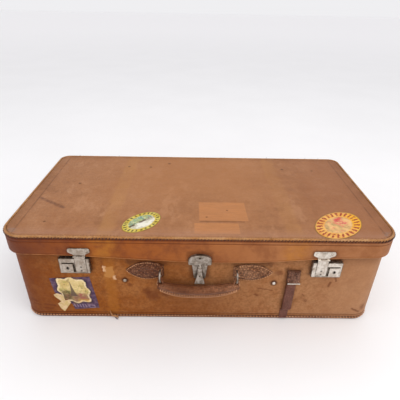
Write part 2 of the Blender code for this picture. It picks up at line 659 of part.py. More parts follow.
def make_handle():
    """Leaf-shaped chapes and rings fixed to the body, and the sewn grip that hangs in the rings."""
    eyes = []
    for side, tag, x in ((-1, "left", RING_X[0]), (1, "right", RING_X[1])):
        chape = front_slab(f"handle_chape_{tag}", chape_outline(side, tag, x), BODY_FRONT - GAP,
                           BODY_FRONT - GAP - CHAPE_T, "leather_handle")
        bevel(chape, 0.0022, 2)
        centre = (x, RING_Y, RING_Z)
        eye_cutter = torus(f"ring_eye_{tag}", RING_R, RING_WIRE + EYE_PLAY, centre)
        boolean(chape, eye_cutter)
        eyes.append(eye_cutter)
        torus(f"handle_ring_{tag}", RING_R, RING_WIRE, centre)
        stud_x, stud_z = STUD_AT[tag]
        rivet(f"stud_{tag}", STUD_R, STUD_H, 0.0015, 0.0002, (stud_x, BODY_FRONT - 0.0006, stud_z),
              FRONT_TURN)

    curve = bpy.data.curves.new("handle_grip", "CURVE")
    curve.dimensions = "3D"
    curve.twist_mode = "Z_UP"
    curve.bevel_mode = "OBJECT"
    curve.bevel_object = egg_profile()
    curve.use_fill_caps = True
    spline = curve.splines.new("POLY")
    count = 13
    spline.points.add(count - 1)
    mid_x = (RING_X[0] + RING_X[1]) / 2
    half = (RING_X[1] - RING_X[0]) / 2 + GRIP_REACH
    for i, point in enumerate(spline.points):
        u = -1 + 2 * i / (count - 1)
        away = (u - GRIP_MID_U) / (1 - GRIP_MID_U if u > GRIP_MID_U else 1 + GRIP_MID_U)
        z = GRIP_MID_Z + (GRIP_END_Z - GRIP_MID_Z) * abs(away) ** GRIP_BOW
        point.co = (mid_x + half * u, GRIP_Y, z, 1)
        point.radius = 1.0 - GRIP_THIN * away ** 4
    grip = meshed("handle_grip", curve, "leather_handle")
    for tag, x in (("left", RING_X[0]), ("right", RING_X[1])):
        loop = block(f"grip_loop_{tag}", (x - LOOP_HALF_W, RING_Y - LOOP_HALF_D, GRIP_END_Z - 0.004),
                     (x + LOOP_HALF_W, RING_Y + LOOP_HALF_D, RING_Z - RING_R + 0.0052),
                     "leather_handle")
        bevel(loop, 0.0022, 2)
        boolean(grip, loop, "UNION")
    for eye_cutter in eyes:
        boolean(grip, eye_cutter)
    joint_empty("handle_swing", (mid_x, RING_Y, RING_Z), [grip])


# ---- Strap keeper ----------------------------------------------------------------------------
def make_strap():
    """A flat strap down the front at the right, under a tab at the top and a patch at the foot."""
    near = BODY_FRONT - GAP
    tab = block("strap_tab", (TAB_X0, near - TAB_T, TAB_LOW), (TAB_X1, near, TAB_HIGH), "leather_strap")
    bevel(tab, 0.0010)
    rod("strap_bar", BAR_R, TAB_X0 + BAR_SHIFT, TAB_X1 + BAR_SHIFT, near - BAR_Y,
        TAB_LOW - BAR_R - GAP, "nickel", 12)
    strap_top = TAB_LOW - 2 * (BAR_R + GAP)
    strap = front_slab("strap", [(STRAP_X0, STRAP_LOW), (STRAP_X1, STRAP_LOW), (STRAP_X1, strap_top),
                                 (STRAP_X0, strap_top)], near - STRAP_BACK, near - STRAP_FRONT,
                       "leather_strap")
    bevel(strap, 0.0006)
    foot = front_slab("strap_foot", [(FOOT_X0, FOOT_LOW), (FOOT_X1, FOOT_LOW),
                                     (FOOT_X1, STRAP_LOW - GAP), (FOOT_X0, STRAP_LOW - GAP)],
                      near, near - FOOT_T, "leather_strap")
    bevel(foot, 0.0004, 1)


# ---- Paper labels ----------------------------------------------------------------------------
def make_labels():
    """Two oval labels on the lid, and one on the front that has lost a corner."""
    low, high = HEIGHT + GAP, HEIGHT + GAP + LABEL_T
    on_lid = []
    for name, (at, half, angle, slot) in OVALS.items():
        turn = Matrix.Rotation(math.radians(angle), 2)
        outline = [turn @ Vector(p) + Vector(at) for p in arc((0, 0), half, 0, 348.75, 31)]
        on_lid.append(level_slab(name, outline, low, high, slot))
    near = BODY_FRONT - GAP
    front_slab("label_square", SQUARE, near, near - LABEL_T, "paper_square")
    return on_lid


# ---- Assembly --------------------------------------------------------------------------------
clear_scene()
PARTS = collection("leather_suitcase")
CUTTERS = collection("suitcase_cutters")

make_body()
lid_pieces = make_lid()
for SIDE, TAG in ((-1, "left"), (1, "right")):
    lid_pieces += make_hinge(SIDE, TAG)
    make_lock(SIDE, TAG)
    lid_pieces += make_lock_hasp(TAG)
lid_pieces += make_centre_hasp()
make_handle()
make_strap()
lid_pieces += make_labels()
lid_axis = joint_empty("lid_hinge", (0, HINGE_Y, SKIRT_Z), lid_pieces)
for name in ("hasp_swing_left", "hasp_swing_right", "centre_swing"):
    empty = bpy.data.objects[name]
    empty.parent = lid_axis
    empty.matrix_parent_inverse = Matrix.Translation(lid_axis.location).inverted()
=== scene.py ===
"""Looks of a vintage leather suitcase: worn tan leather, stitched edges, dull nickel fittings."""
import functools
import math
import operator

import bmesh
import bpy
from mathutils import Matrix, Vector, noise


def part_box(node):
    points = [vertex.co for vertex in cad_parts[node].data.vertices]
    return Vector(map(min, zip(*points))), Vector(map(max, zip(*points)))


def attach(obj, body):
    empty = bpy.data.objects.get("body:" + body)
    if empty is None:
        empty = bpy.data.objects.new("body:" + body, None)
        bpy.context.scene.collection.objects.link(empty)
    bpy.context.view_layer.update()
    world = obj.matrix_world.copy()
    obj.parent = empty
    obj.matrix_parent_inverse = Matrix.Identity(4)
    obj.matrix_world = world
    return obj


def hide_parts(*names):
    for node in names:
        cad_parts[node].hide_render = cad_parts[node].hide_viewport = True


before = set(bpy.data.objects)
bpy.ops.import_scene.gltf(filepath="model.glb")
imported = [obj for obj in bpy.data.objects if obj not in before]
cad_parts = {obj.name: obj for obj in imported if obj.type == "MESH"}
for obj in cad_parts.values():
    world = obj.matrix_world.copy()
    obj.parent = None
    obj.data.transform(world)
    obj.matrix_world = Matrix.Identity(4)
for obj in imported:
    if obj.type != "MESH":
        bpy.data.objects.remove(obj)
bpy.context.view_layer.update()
MM = 0.001


def middle_of(name):
    """The middle of a CAD node's box."""
    return [(low + high) / 2 for low, high in zip(*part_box(name))]



# ---- Places read from the frame -----------------------------------------------------------------
LID_LOW, LID_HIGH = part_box("lid_shell")
BODY_LOW, BODY_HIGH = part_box("body_shell")
HALF_W, LID_FRONT, BACK, TOP = LID_HIGH[0], LID_LOW[1], LID_HIGH[1], LID_HIGH[2]
BODY_HALF_W, BODY_FRONT, COLLAR_TOP = BODY_HIGH[0], BODY_LOW[1], BODY_HIGH[2]
SKIRT_DIP_Z = LID_LOW[2]
SKIRT_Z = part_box("hinge_pin_left")[0][2] + 1.5 * MM
R_LID = (41 * MM, 22 * MM)           # front and back corner radii
R_BODY = (35 * MM, 20 * MM)
SKIRT_DIP_X = 45 * MM
BACK_TRIM_Y = 150 * MM


# ---- Shader graphs ------------------------------------------------------------------------------
class Value:
    """An output of a graph's node, which adds, subtracts and multiplies like a number."""

    def __init__(self, graph, socket):
        self.graph, self.socket = graph, socket

    def __add__(self, other):
        return self.graph.math("ADD", self, other)

    def __mul__(self, other):
        return self.graph.math("MULTIPLY", self, other)

    __radd__, __rmul__ = __add__, __mul__

    def __sub__(self, other):
        return self.graph.math("SUBTRACT", self, other)

    def __rsub__(self, other):
        return self.graph.math("SUBTRACT", other, self)

    def __pow__(self, other):
        return self.graph.math("POWER", self, other)

    def __abs__(self):
        return self.graph.math("ABSOLUTE", self)


class Graph:
    """A material's node tree, with short calls for the nodes that these looks use."""

    def __init__(self, name, light=1.0):
        self.material = bpy.data.materials.new(name)
        self.material.use_nodes = True
        self.nodes = self.material.node_tree.nodes
        self.links = self.material.node_tree.links
        self.light = light
        self.colour = None
        coordinates = self.nodes.new("ShaderNodeTexCoord").outputs
        self.object_xyz = Value(self, coordinates["Object"])
        self.generated = Value(self, coordinates["Generated"])
        self.x, self.y, self.z = self.split(self.object_xyz)

    def feed(self, socket, value):
        if isinstance(value, Value):
            self.links.new(value.socket, socket)
        elif isinstance(value, tuple) and len(value) == 3 and socket.type == "RGBA":
            socket.default_value = (*value, 1.0)
        elif value is not None:
            socket.default_value = value

    def node(self, kind, inputs, output=0, **settings):
        """The output of a new node; inputs are pairs of an input's name or index and its value."""
        node = self.nodes.new("ShaderNode" + kind)
        for name, value in settings.items():
            setattr(node, name, value)
        for name, value in inputs:
            self.feed(node.inputs[name], value)
        return Value(self, node.outputs[output])

    def split(self, vector):
        node = self.nodes.new("ShaderNodeSeparateXYZ")
        self.feed(node.inputs[0], vector)
        return [Value(self, socket) for socket in node.outputs]

    def math(self, operation, *values):
        return self.node("Math", enumerate(values), operation=operation)

    def top(self, a, b):
        return self.math("MAXIMUM", a, b)

    def reach(self, a, b):
        return self.math("SQRT", a * a + b * b)

    def ramp(self, value, start, stop, low=0.0, high=1.0):
        """value from start to stop becomes low to high, smoothly, and stays there outside."""
        return self.node("MapRange", enumerate((value, start, stop, low, high)),
                         interpolation_type="SMOOTHSTEP")

    def mix(self, share, a, b):
        return self.node("Mix", ((0, share), (6, a), (7, b)), 2, data_type="RGBA")

    def lay(self, tone, *shares):
        """Lays a tone over the colour so far, as strongly as the product of the shares."""
        self.colour = self.mix(functools.reduce(operator.mul, shares), self.colour, tone)

    def tone(self, red, green, blue):
        return seen(red, green, blue, self.light)

    def mottled(self, one, other, low, high, *cloud):
        """Clouds of two colours given as 8-bit red, green and blue."""
        return self.mix(self.ramp(self.noise(*cloud), low, high), self.tone(*one), self.tone(*other))

    def tint(self, tone, *shares):
        """Lays a tone given as 8-bit red, green and blue."""
        self.lay(self.tone(*tone), *shares)

    def place(self, scale=(1, 1, 1), turn=0.0, shift=(0, 0, 0)):
        """The object's coordinates, moved, turned about Z and stretched."""
        inputs = (("Vector", self.object_xyz), ("Location", shift), ("Rotation", (0, 0, turn)),
                  ("Scale", scale))
        return self.node("Mapping", inputs, vector_type="TEXTURE" if turn or any(shift) else "POINT")

    def noise(self, scale, detail=3.0, rough=0.5, warp=0.0, at=None):
        inputs = (("Vector", at or self.object_xyz), ("Scale", scale), ("Detail", detail),
                  ("Roughness", rough), ("Distortion", warp))
        return self.node("TexNoise", inputs, "Fac")

    def loose(self, axis, reach, *cloud):
        """A coordinate pushed to and fro by noise, so that edges drawn with it come out ragged."""
        return axis + (self.noise(*cloud) - 0.5) * reach

    def cells(self, scale, feature="F1"):
        inputs = (("Vector", self.object_xyz), ("Scale", scale))
        return self.node("TexVoronoi", inputs, "Distance", feature=feature)

    def span(self, value, low, high, soft):
        """1 between low and high, fading to 0 over soft at both ends."""
        rise = self.ramp(value, low - soft / 2, low + soft / 2)
        fall = self.ramp(value, high - soft / 2, high + soft / 2, 1.0, 0.0)
        return rise * fall

    def patch(self, a, b, box, soft):
        """1 inside a box of two coordinates: box is low a, high a, low b, high b."""
        return self.span(a, box[0], box[1], soft) * self.span(b, box[2], box[3], soft)

    def stroke(self, a, b, start, stop, wide, soft):
        """1 along a straight stroke between two points in the plane of a and b."""
        dx, dy = stop[0] - start[0], stop[1] - start[1]
        length = math.hypot(dx, dy)
        da, db = a - start[0], b - start[1]
        along = da * (dx / length) + db * (dy / length)
        across = da * (-dy / length) + db * (dx / length)
        return self.patch(along, across, (0, length, -wide / 2, wide / 2), soft)

    def bump(self, height, depth, strength=1.0, after=None):
        inputs = (("Strength", strength), ("Distance", depth), ("Height", height), ("Normal", after))
        return self.node("Bump", inputs)

    def finish(self, roughness, normal=None, metallic=0.0, **fixed):
        fixed.update(Base_Color=self.colour, Roughness=roughness, Metallic=metallic, Normal=normal)
        for name, value in fixed.items():
            self.feed(self.nodes["Principled BSDF"].inputs[name.replace("_", " ")], value)
        return self.material


SHEEN = 0.012            # light that the surfaces reflect without colouring it


def seen(red, green, blue, light=1.0):
    """The base colour that reads as this 8-bit colour under the studio's light."""
    linear = [((c / 255 + 0.055) / 1.055) ** 2.4 for c in (red, green, blue)]
    return tuple(max(0.004, (c - SHEEN) / light) for c in linear)


FRONT = 1.10             # light on the upright faces
SMALL = 0.95             # light on the handle, its chapes and the strap
WARM_SHEEN = (1.0, 0.70, 0.46)


def hide_relief(g, pebble=900.0):
    """Grain, fine creases and scuffs of leather, as one normal."""
    grain = g.ramp(g.cells(pebble), 0.0, 0.75)
    normal = g.bump(grain, 0.25 * MM, 0.45)
    creases = g.ramp(g.noise(260, 6, 0.7, 2.2), 0.35, 0.7)
    normal = g.bump(creases, 0.35 * MM, 0.4, normal)
    return g.bump(g.noise(40, 2, 0.5, 1.5), 2.0 * MM, 0.35, normal)


def leather_tones(g, dark, mid, pale, mottle=1.0):
    """Blotchy dye from 8-bit colours: clouds, mottling, rubbed streaks and small dark specks."""
    dark, mid, pale = (g.tone(*colour) for colour in (dark, mid, pale))
    cloud = g.noise(7, 4, 0.58, 0.2)
    mottled = g.noise(46, 7, 0.72, 0.25)
    tone = cloud * 0.55 + mottled * (0.45 * mottle)
    colour = g.mix(g.ramp(tone, 0.36, 0.51), dark, mid)
    colour = g.mix(g.ramp(tone, 0.50, 0.66), colour, pale)
    rubbed = g.noise(1.0, 6, 0.72, 0.4, g.place(scale=(14, 190, 230)))
    colour = g.mix(g.ramp(rubbed, 0.52, 0.72) * 0.35, colour, pale)
    stained = g.noise(1.0, 6, 0.75, 0.6, g.place(scale=(22, 260, 150)))
    colour = g.mix(g.ramp(stained, 0.55, 0.74) * 0.4, colour, dark)
    fine = g.ramp(g.noise(210, 5, 0.75), 0.34, 0.62, 0.34, 0.0)
    colour = g.mix(fine * mottle, colour, tuple(0.62 * c for c in dark))
    blotch = g.ramp(g.noise(27, 7, 0.74, 0.3), 0.52, 0.70, 0.0, 0.34)
    colour = g.mix(blotch * mottle, colour, tuple(0.72 * c for c in dark))
    speck = g.ramp(g.cells(95), 0.03, 0.11, 1.0, 0.0)
    shown = speck * g.ramp(g.noise(21, 2), 0.55, 0.68)
    return g.mix(shown * 0.6, colour, tuple(0.4 * c for c in dark))


def spot_at(g, a, b, centre, size):
    """1 at a spot in the plane of a and b, fading to 0."""
    return g.ramp(g.reach(a - centre[0], b - centre[1]), 0.25 * size, 0.75 * size, 1.0, 0.0)


def lid_leather():
    g = Graph("lid_leather", 1.14)
    g.colour = leather_tones(g, (152, 104, 72), (172, 120, 84), (184, 134, 98))
    worn = g.noise(17, 7, 0.70, 0.25, g.place(scale=(0.8, 1.5, 1), shift=(0.13, 0.4, 0)))
    g.tint((150, 98, 64), g.ramp(worn, 0.5, 0.66, 0.0, 0.55))
    g.tint((192, 142, 106), g.ramp(worn, 0.34, 0.46, 0.5, 0.0))
    hairs = g.noise(1.0, 5, 0.8, 0.2, g.place(scale=(60, 700, 1), turn=0.35))
    g.tint((128, 84, 58), g.ramp(hairs, 0.6, 0.7, 0.0, 0.55))
    warm = g.span(g.x, -0.2, 0.16, 0.22) * g.ramp(g.y, -0.15, 0.08, 0.2, 0.7)
    g.tint((176, 120, 78), warm)
    cool_right = g.ramp(g.x, 0.14, 0.3) * 0.62
    g.tint((155, 103, 72), cool_right)
    on_top = g.ramp(g.z, TOP - 4.5 * MM, TOP - 2 * MM)
    side_on = 1.0 - on_top
    # The front runs from dark orange at the left to paler at the right: partly the leather's own tone,
    # partly a painted reflection of the pale surroundings on the right.
    front_left, front_right = seen(116, 56, 18, FRONT), seen(150, 96, 62, FRONT)
    front_tone = g.mix(g.ramp(g.x, -0.18, 0.26), front_left, front_right)
    far_left = g.ramp(g.x, -0.34, -0.14, 1.0, 0.0) * 0.85
    front_tone = g.mix(far_left, front_tone, seen(90, 42, 10, FRONT))
    front_mid = g.mix(g.ramp(g.noise(24, 6, 0.68, 0.2), 0.36, 0.62) * (1.0 - far_left), front_tone,
                      g.mix(g.ramp(g.x, -0.18, 0.26), seen(150, 80, 28, FRONT), seen(170, 114, 76, FRONT)))
    g.lay(front_mid, side_on, 0.9)
    # broad ghosts of the straps that once went round the case
    wobble = g.loose(g.x, 8 * MM, 9, 2)
    ghosts = g.top(g.span(wobble, -0.180, -0.152, 9 * MM), g.span(wobble, 0.152, 0.182, 9 * MM))
    fade = g.ramp(g.noise(8, 3), 0.35, 0.6, 0.15, 0.55)
    g.tint((184, 132, 82), ghosts, fade, on_top)
    glow = g.top(g.span(wobble, -0.188, -0.144, 30 * MM), g.span(wobble, 0.146, 0.188, 30 * MM))
    patchy = g.ramp(g.noise(40, 5, 0.7), 0.36, 0.62, 0.12, 0.5)
    g.lay(seen(190, 124, 52, FRONT), glow, side_on, patchy)
    # two paler places where labels came off, torn along one edge
    ragged = g.loose(g.y, 3 * MM, 120, 4, 0.7)
    lean = g.x - g.y * -0.02
    lifted = g.top(g.patch(lean, ragged, (-0.004, 0.0870, -0.1200, -0.0525), 1.4 * MM),
                   g.patch(lean, ragged, (-0.0135, 0.0670, -0.1630, -0.1285), 1.4 * MM))
    streak = g.ramp(g.noise(1.0, 5, 0.6, 0.3, g.place(scale=(30, 260, 1))), 0.4, 0.65, 0.60, 1.0)
    g.tint((192, 130, 84), lifted, on_top, streak)
    tear = g.patch(lean, ragged, (-0.004, 0.08, -0.1245, -0.1215), 1.4 * MM) * on_top
    g.tint((120, 72, 48), tear, 0.6)
    # a dark scrape, small dents and the dirt that gathers along the borders
    scrape = g.stroke(g.x, g.y, (-0.326, -0.040), (-0.262, -0.082), 7 * MM, 6 * MM)
    frayed = g.ramp(g.noise(150, 4, 0.7), 0.35, 0.6, 0.4, 1.0)
    g.tint((98, 62, 52), scrape, frayed, on_top, 0.75)
    for spot_x, spot_y, size in ((0.198, 0.112, 7), (-0.118, 0.114, 6), (-0.075, 0.136, 7),
                                 (-0.283, -0.130, 5), (0.052, -0.083, 4), (0.268, 0.105, 5),
                                 (-0.170, 0.115, 6), (-0.262, 0.023, 6), (0.012, -0.108, 4)):
        spot = spot_at(g, g.x, g.y, (spot_x, spot_y), size * MM) * on_top
        g.tint((84, 52, 36), spot, 0.7)
    edge_x = abs(g.x)
    border = g.top(g.span(edge_x, 0.3245, 0.3275, 3 * MM), g.ramp(edge_x, 0.310, 0.35, 0.0, 0.6))
    back_dirt = g.ramp(g.y, 0.150, 0.1775, 0.0, 0.55)
    dirt = g.top(border, back_dirt) * g.ramp(g.noise(30, 3), 0.3, 0.6, 0.35, 1.0)
    g.tint((112, 72, 52), dirt, on_top, 0.7)
    # grey board showing where the front corners have worn through
    for side in (-1, 1):
        bare = spot_at(g, g.x, g.y, (side * 0.331, -0.16), 17 * MM)
        g.tint((128, 116, 110), bare, on_top, g.ramp(g.noise(190, 4, 0.7), 0.42, 0.56), 0.6)
    front_sheen = g.ramp(g.y, -0.173, -0.14, 1.0, 0.0) * on_top
    brushed = g.ramp(g.noise(1.0, 5, 0.7, 0.3, g.place(scale=(10, 420, 1))), 0.38, 0.62, 0.35, 0.9)
    g.tint((174, 132, 110), front_sheen, brushed, 0.6)
    scored = g.ramp(g.noise(1.0, 5, 0.75, 0.3, g.place(scale=(16, 330, 1), shift=(0.3, 0.2, 0))), 0.53, 0.66)
    g.tint((112, 72, 50), scored, g.ramp(g.y, -0.16, -0.02, 1.0, 0.25), on_top, 0.34)
    # Painted shade: darker in the crease under the top band and below the edge binding.
    crease = g.span(g.z, TOP - 13.4 * MM, TOP - 11.6 * MM, 1.6 * MM) * side_on
    g.lay(seen(96, 48, 18, FRONT), crease, 0.6)
    under = g.span(g.z, TOP - 8.0 * MM, TOP - 3.8 * MM, 2.4 * MM) * side_on
    g.lay(seen(84, 40, 16, FRONT), under, 0.65)
    # painted shade round the fittings on the front
    loose_x = g.loose(g.x, 13 * MM, 110, 5, 0.75)
    loose_z = g.loose(g.z, 13 * MM, 95, 5, 0.75)
    on_front = g.ramp(g.y, LID_FRONT + 2 * MM, LID_FRONT + 6 * MM, 1.0, 0.0)
    for low_x, high_x, low_z, high_z in ((-0.234, -0.190, 0.160, 0.1785), (0.197, 0.242, 0.159, 0.177),
                                         (-0.023, 0.024, 0.140, 0.1715)):
        near = g.patch(loose_x, loose_z, (low_x, high_x, low_z, high_z), 9 * MM) * on_front
        g.lay(seen(60, 32, 16, FRONT), near, 0.42)
    # a painted highlight along the lower edge of the front, which hangs in a bow, and painted shade in the
    # fold just above it
    off = g.x - SKIRT_DIP_X
    share = g.top(off * (1 / (HALF_W - R_LID[0] - SKIRT_DIP_X)),
                  off * (-1 / (HALF_W - R_LID[0] + SKIRT_DIP_X)))
    bow = g.math("COSINE", share * math.pi) * 0.5 + 0.5
    above = g.z - (SKIRT_Z - bow * (SKIRT_Z - SKIRT_DIP_Z))
    broken = g.ramp(g.noise(60, 4, 0.7), 0.36, 0.56, 0.25, 1.0)
    lip = g.span(above, -0.001, 0.0019, 0.0012) * (on_front * broken)
    g.lay(seen(196, 134, 84, FRONT), lip, 0.8)
    fold = g.span(above, 0.0028, 0.004, 0.0014) * on_front
    g.lay(seen(96, 50, 22, FRONT), fold, 0.5)
    rough = 0.46 + g.noise(55, 4, 0.6) * 0.22
    return g.finish(rough, hide_relief(g), Specular_IOR_Level=0.26, Specular_Tint=WARM_SHEEN)


def body_leather():
    g = Graph("body_leather", FRONT)
    # The front runs from darker orange at the left to paler at the right: partly the leather's own tone,
    # partly a painted reflection of the pale surroundings on the right.
    left = g.ramp(g.x, -0.24, 0.20, 1.0, 0.0)
    right = g.ramp(g.x, 0.16, 0.34)
    g.colour = leather_tones(g, (134, 82, 50), (156, 104, 68), (172, 122, 84), 1.3)
    orange = leather_tones(g, (120, 62, 24), (146, 82, 34), (160, 100, 52), 1.3)
    g.lay(orange, left, 0.95)
    g.tint((182, 136, 102), right, 0.6)
    far_left = g.ramp(g.x, -0.34, -0.22, 1.0, 0.0) * 0.65
    g.tint((104, 52, 22), far_left)
    under_handle = g.span(g.x, -0.09, 0.09, 0.12) * g.ramp(g.z, 0.02, 0.11, 0.45, 0.1)
    g.tint((118, 66, 36), under_handle, g.ramp(g.noise(22, 5, 0.65), 0.32, 0.62, 0.35, 1.0))
    on_front = g.ramp(g.y, BODY_FRONT + 3 * MM, BODY_FRONT + 8 * MM, 1.0, 0.0)
    # pale, torn place of the missing keeper, with the ghost of its strap below
    torn_x = g.loose(g.x, 15 * MM, 90, 5, 0.75)
    torn_z = g.loose(g.z, 15 * MM, 75, 5, 0.75)
    scar = g.patch(torn_x, torn_z, (-0.1755, -0.1575, 0.1035, 0.1285), 2.5 * MM) * on_front
    g.tint((190, 138, 84), scar, 0.9)
    rim = g.top(g.patch(torn_x, torn_z, (-0.178, -0.172, 0.117, 0.130), 2.0 * MM),
                g.patch(torn_x, torn_z, (-0.160, -0.154, 0.098, 0.107), 2.0 * MM))
    g.tint((228, 188, 150), rim, on_front, 0.9)
    ghost = g.span(torn_x, -0.176, -0.156, 8 * MM) * (on_front * 0.45)
    g.tint((172, 108, 48), ghost)
    near_x, near_z = g.x * 0.55 + torn_x * 0.45, g.z * 0.55 + torn_z * 0.45
    for start, stop, wide in (((0.252, 0.112), (0.256, 0.098), 3.5), ((0.246, 0.098), (0.242, 0.085), 4),
                              ((0.105, 0.066), (0.112, 0.060), 4), ((0.110, 0.080), (0.140, 0.074), 2),
                              ((-0.300, 0.034), (-0.278, 0.030), 3.5),
                              ((-0.305, 0.025), (-0.284, 0.022), 2.5),
                              ((0.196, 0.066), (0.202, 0.061), 2.5), ((0.300, 0.030), (0.318, 0.020), 4),
                              ((-0.326, 0.047), (-0.311, 0.040), 4), ((-0.322, 0.036), (-0.306, 0.032), 3)):
        scuff = g.stroke(near_x, near_z, start, stop, wide * MM, 4 * MM) * on_front
        g.tint((96, 48, 26), scuff, 0.7)
    for centre, size in (((-0.088, 0.060), 26), ((-0.062, 0.064), 18), ((0.325, 0.032), 16),
                         ((-0.130, 0.086), 8), ((0.205, 0.050), 10), ((-0.100, 0.072), 16),
                         ((0.146, 0.118), 14)):
        smudge = spot_at(g, torn_x, torn_z, centre, size * MM) * on_front
        g.tint((92, 46, 20), smudge, 0.5)
    runs = g.noise(1.0, 6, 0.72, 0.3, g.place(scale=(16, 1, 120), shift=(0.4, 0, 0.2)))
    g.tint((110, 60, 30), g.ramp(runs, 0.52, 0.66, 0.0, 0.42), on_front)
    g.tint((188, 134, 86), g.ramp(runs, 0.32, 0.45, 0.3, 0.0), on_front)
    for side in ("left", "right"):
        x, _, z = middle_of(f"stud_{side}")
        ring = spot_at(g, g.x, g.z, (x, z), 13 * MM) * on_front
        g.tint((60, 32, 16), ring, 0.8)
    # painted shade round the fittings
    for low_x, high_x, low_z, high_z in ((-0.2525, -0.1935, 0.1175, 0.160), (0.1995, 0.2585, 0.114, 0.158),
                                         (-0.018, 0.018, 0.104, 0.150), (0.1580, 0.1650, 0.026, 0.128),
                                         (0.160, 0.188, 0.122, 0.1285), (-0.134, -0.058, 0.134, 0.146),
                                         (0.058, 0.132, 0.132, 0.144)):
        near = g.patch(torn_x, torn_z, (low_x, high_x, low_z, high_z), 9 * MM) * on_front
        g.tint((58, 31, 16), near, 0.5)
    shade = g.ramp(g.z, 0.128, 0.158, 0.0, 1.0) * on_front
    g.tint((98, 54, 26), shade, 0.35)
    foot = g.ramp(g.z, 2 * MM, 16 * MM, 1.0, 0.0)
    dirt = foot * g.ramp(g.noise(45, 4, 0.6), 0.3, 0.65, 0.3, 1.0)
    g.tint((104, 58, 32), dirt, 0.75)
    track = g.span(g.z, 3.4 * MM, 9.0 * MM, 2.0 * MM)
    g.tint((66, 32, 16), track, 0.85)
    # painted shade in the groove about 13 mm above the bottom
    crease = g.span(g.z, 12.0 * MM, 14.2 * MM, 1.6 * MM) * 0.6
    g.tint((86, 44, 22), crease)
    rough = 0.48 + g.noise(55, 4, 0.6) * 0.22
    return g.finish(rough, hide_relief(g), Specular_IOR_Level=0.22, Specular_Tint=WARM_SHEEN)


def dark_leather(name, light, dark, mid, pale, pebble=420.0, depth=0.6 * MM, left=None, groove=None,
                 knobs=0.0, gloss=0.32):
    """Darker leather of small parts: pebbled, with dark crevices and, with knobs, paler high places."""
    g = Graph(name, light)
    g.colour = leather_tones(g, dark, mid, pale, 1.2)
    if left:
        g.tint(left, g.ramp(g.x, -0.085, -0.055, 0.7, 0.0))
    # painted shade along the groove under the lid's edge binding
    if groove:
        g.tint(groove, g.span(g.z, TOP - 7.0 * MM, TOP - 4.0 * MM, 1.6 * MM), 0.85)
    wavy = g.noise(pebble / 2, 2, 0.5)
    gap = g.ramp(g.cells(pebble, "DISTANCE_TO_EDGE") + wavy * 0.12, 0.06, 0.24, 1.0, 0.0)
    if knobs:
        g.tint(pale, g.ramp(g.cells(pebble), 0.1, 0.42, 1.0, 0.0), knobs)
    g.lay(tuple(0.4 * c for c in g.tone(*dark)), gap, 0.65 + 0.3 * knobs)
    normal = g.bump(1.0 - gap, depth, 0.7)
    normal = g.bump(g.noise(300, 5, 0.7), 0.3 * MM, 0.4, normal)
    rough = gloss + g.noise(80, 4, 0.6) * 0.22
    return g.finish(rough, normal, Specular_IOR_Level=0.45, Specular_Tint=WARM_SHEEN)


def nickel(name="worn_nickel", bright=(0.71, 0.65, 0.575), dull=(0.50, 0.425, 0.35), shine=0.26):
    """Dull nickel plate: cloudy, finely scratched, brown in its pits."""
    g = Graph(name)
    cloud = g.noise(120, 5, 0.65, 0.4)
    g.colour = g.mix(g.ramp(cloud, 0.36, 0.6), dull, bright)
    pits = g.ramp(g.cells(700), 0.02, 0.12, 1.0, 0.0)
    g.lay((0.1, 0.065, 0.035), pits, g.ramp(g.noise(150, 3), 0.5, 0.62), 0.8)
    # darker along each part's outline: painted shade of its edges, with some grime
    across, _, up = g.split(g.generated)
    rim_x = g.ramp(abs(across - 0.5), 0.462, 0.495)
    rim_z = g.ramp(abs(up - 0.5), 0.445, 0.492)
    rim = g.top(rim_x, rim_z) * g.ramp(g.noise(230, 4, 0.7), 0.3, 0.58, 0.25, 0.9)
    g.lay((0.085, 0.058, 0.036), rim)
    stain = g.ramp(g.noise(75, 6, 0.75, 0.3), 0.52, 0.68, 0.0, 0.62)
    g.lay((0.17, 0.125, 0.085), stain)
    # painted shade over the keyholes, and dark dots over the two rivets of each tongue
    for side in ("left", "right"):
        x, _, z = middle_of(f"lock_button_{side}")
        g.lay((0.03, 0.022, 0.016), spot_at(g, g.x, g.z, (x, z), 6 * MM), 0.85)
        tongue = f"hasp_tongue_{side}"
        for up_share in (0.17, 0.50):
            dot = (middle_of(tongue)[0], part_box(tongue)[0][2] + up_share * 24 * MM)
            g.lay((0.04, 0.03, 0.022), spot_at(g, g.x, g.z, dot, 3.6 * MM), 0.8)
    scratch = g.noise(1.0, 6, 0.8, 0.2, g.place(scale=(2600, 2600, 190)))
    rough = shine + cloud * 0.22
    normal = g.bump(scratch, 0.10 * MM, 0.30)
    normal = g.bump(g.noise(420, 4, 0.6), 0.25 * MM, 0.35, normal)
    return g.finish(rough, normal, 0.85)


def thread_material(name, light, dark):
    g = Graph(name)
    twist = g.noise(900, 3, 0.6)
    g.colour = g.mix(g.ramp(twist, 0.35, 0.65), dark, light)
    g.lay(dark, g.ramp(g.noise(16, 3), 0.42, 0.62, 0.0, 0.6))
    return g.finish(0.8, g.bump(twist, 0.2 * MM, 0.5))


def lining_cloth():
    """Plain woven cotton, yellowed, with faint stripes."""
    g = Graph("lining_cotton")
    weave_x = g.math("SINE", g.x * 5200)
    weave_y = g.math("SINE", (g.y + g.z) * 5200)
    weave = (weave_x + weave_y) * 0.25
    stripe = g.ramp(g.math("SINE", g.x * 260), 0.75, 0.95)
    g.colour = g.mix(g.ramp(g.noise(9, 5, 0.6), 0.35, 0.7), (0.4, 0.32, 0.21), (0.56, 0.48, 0.35))
    g.lay((0.3, 0.2, 0.13), stripe, 0.35)
    stain = g.ramp(g.noise(5, 4, 0.6, 0.8), 0.6, 0.75)
    g.lay((0.24, 0.16, 0.09), stain, 0.35)
    return g.finish(0.92, g.bump(weave, 0.25 * MM, 0.5))


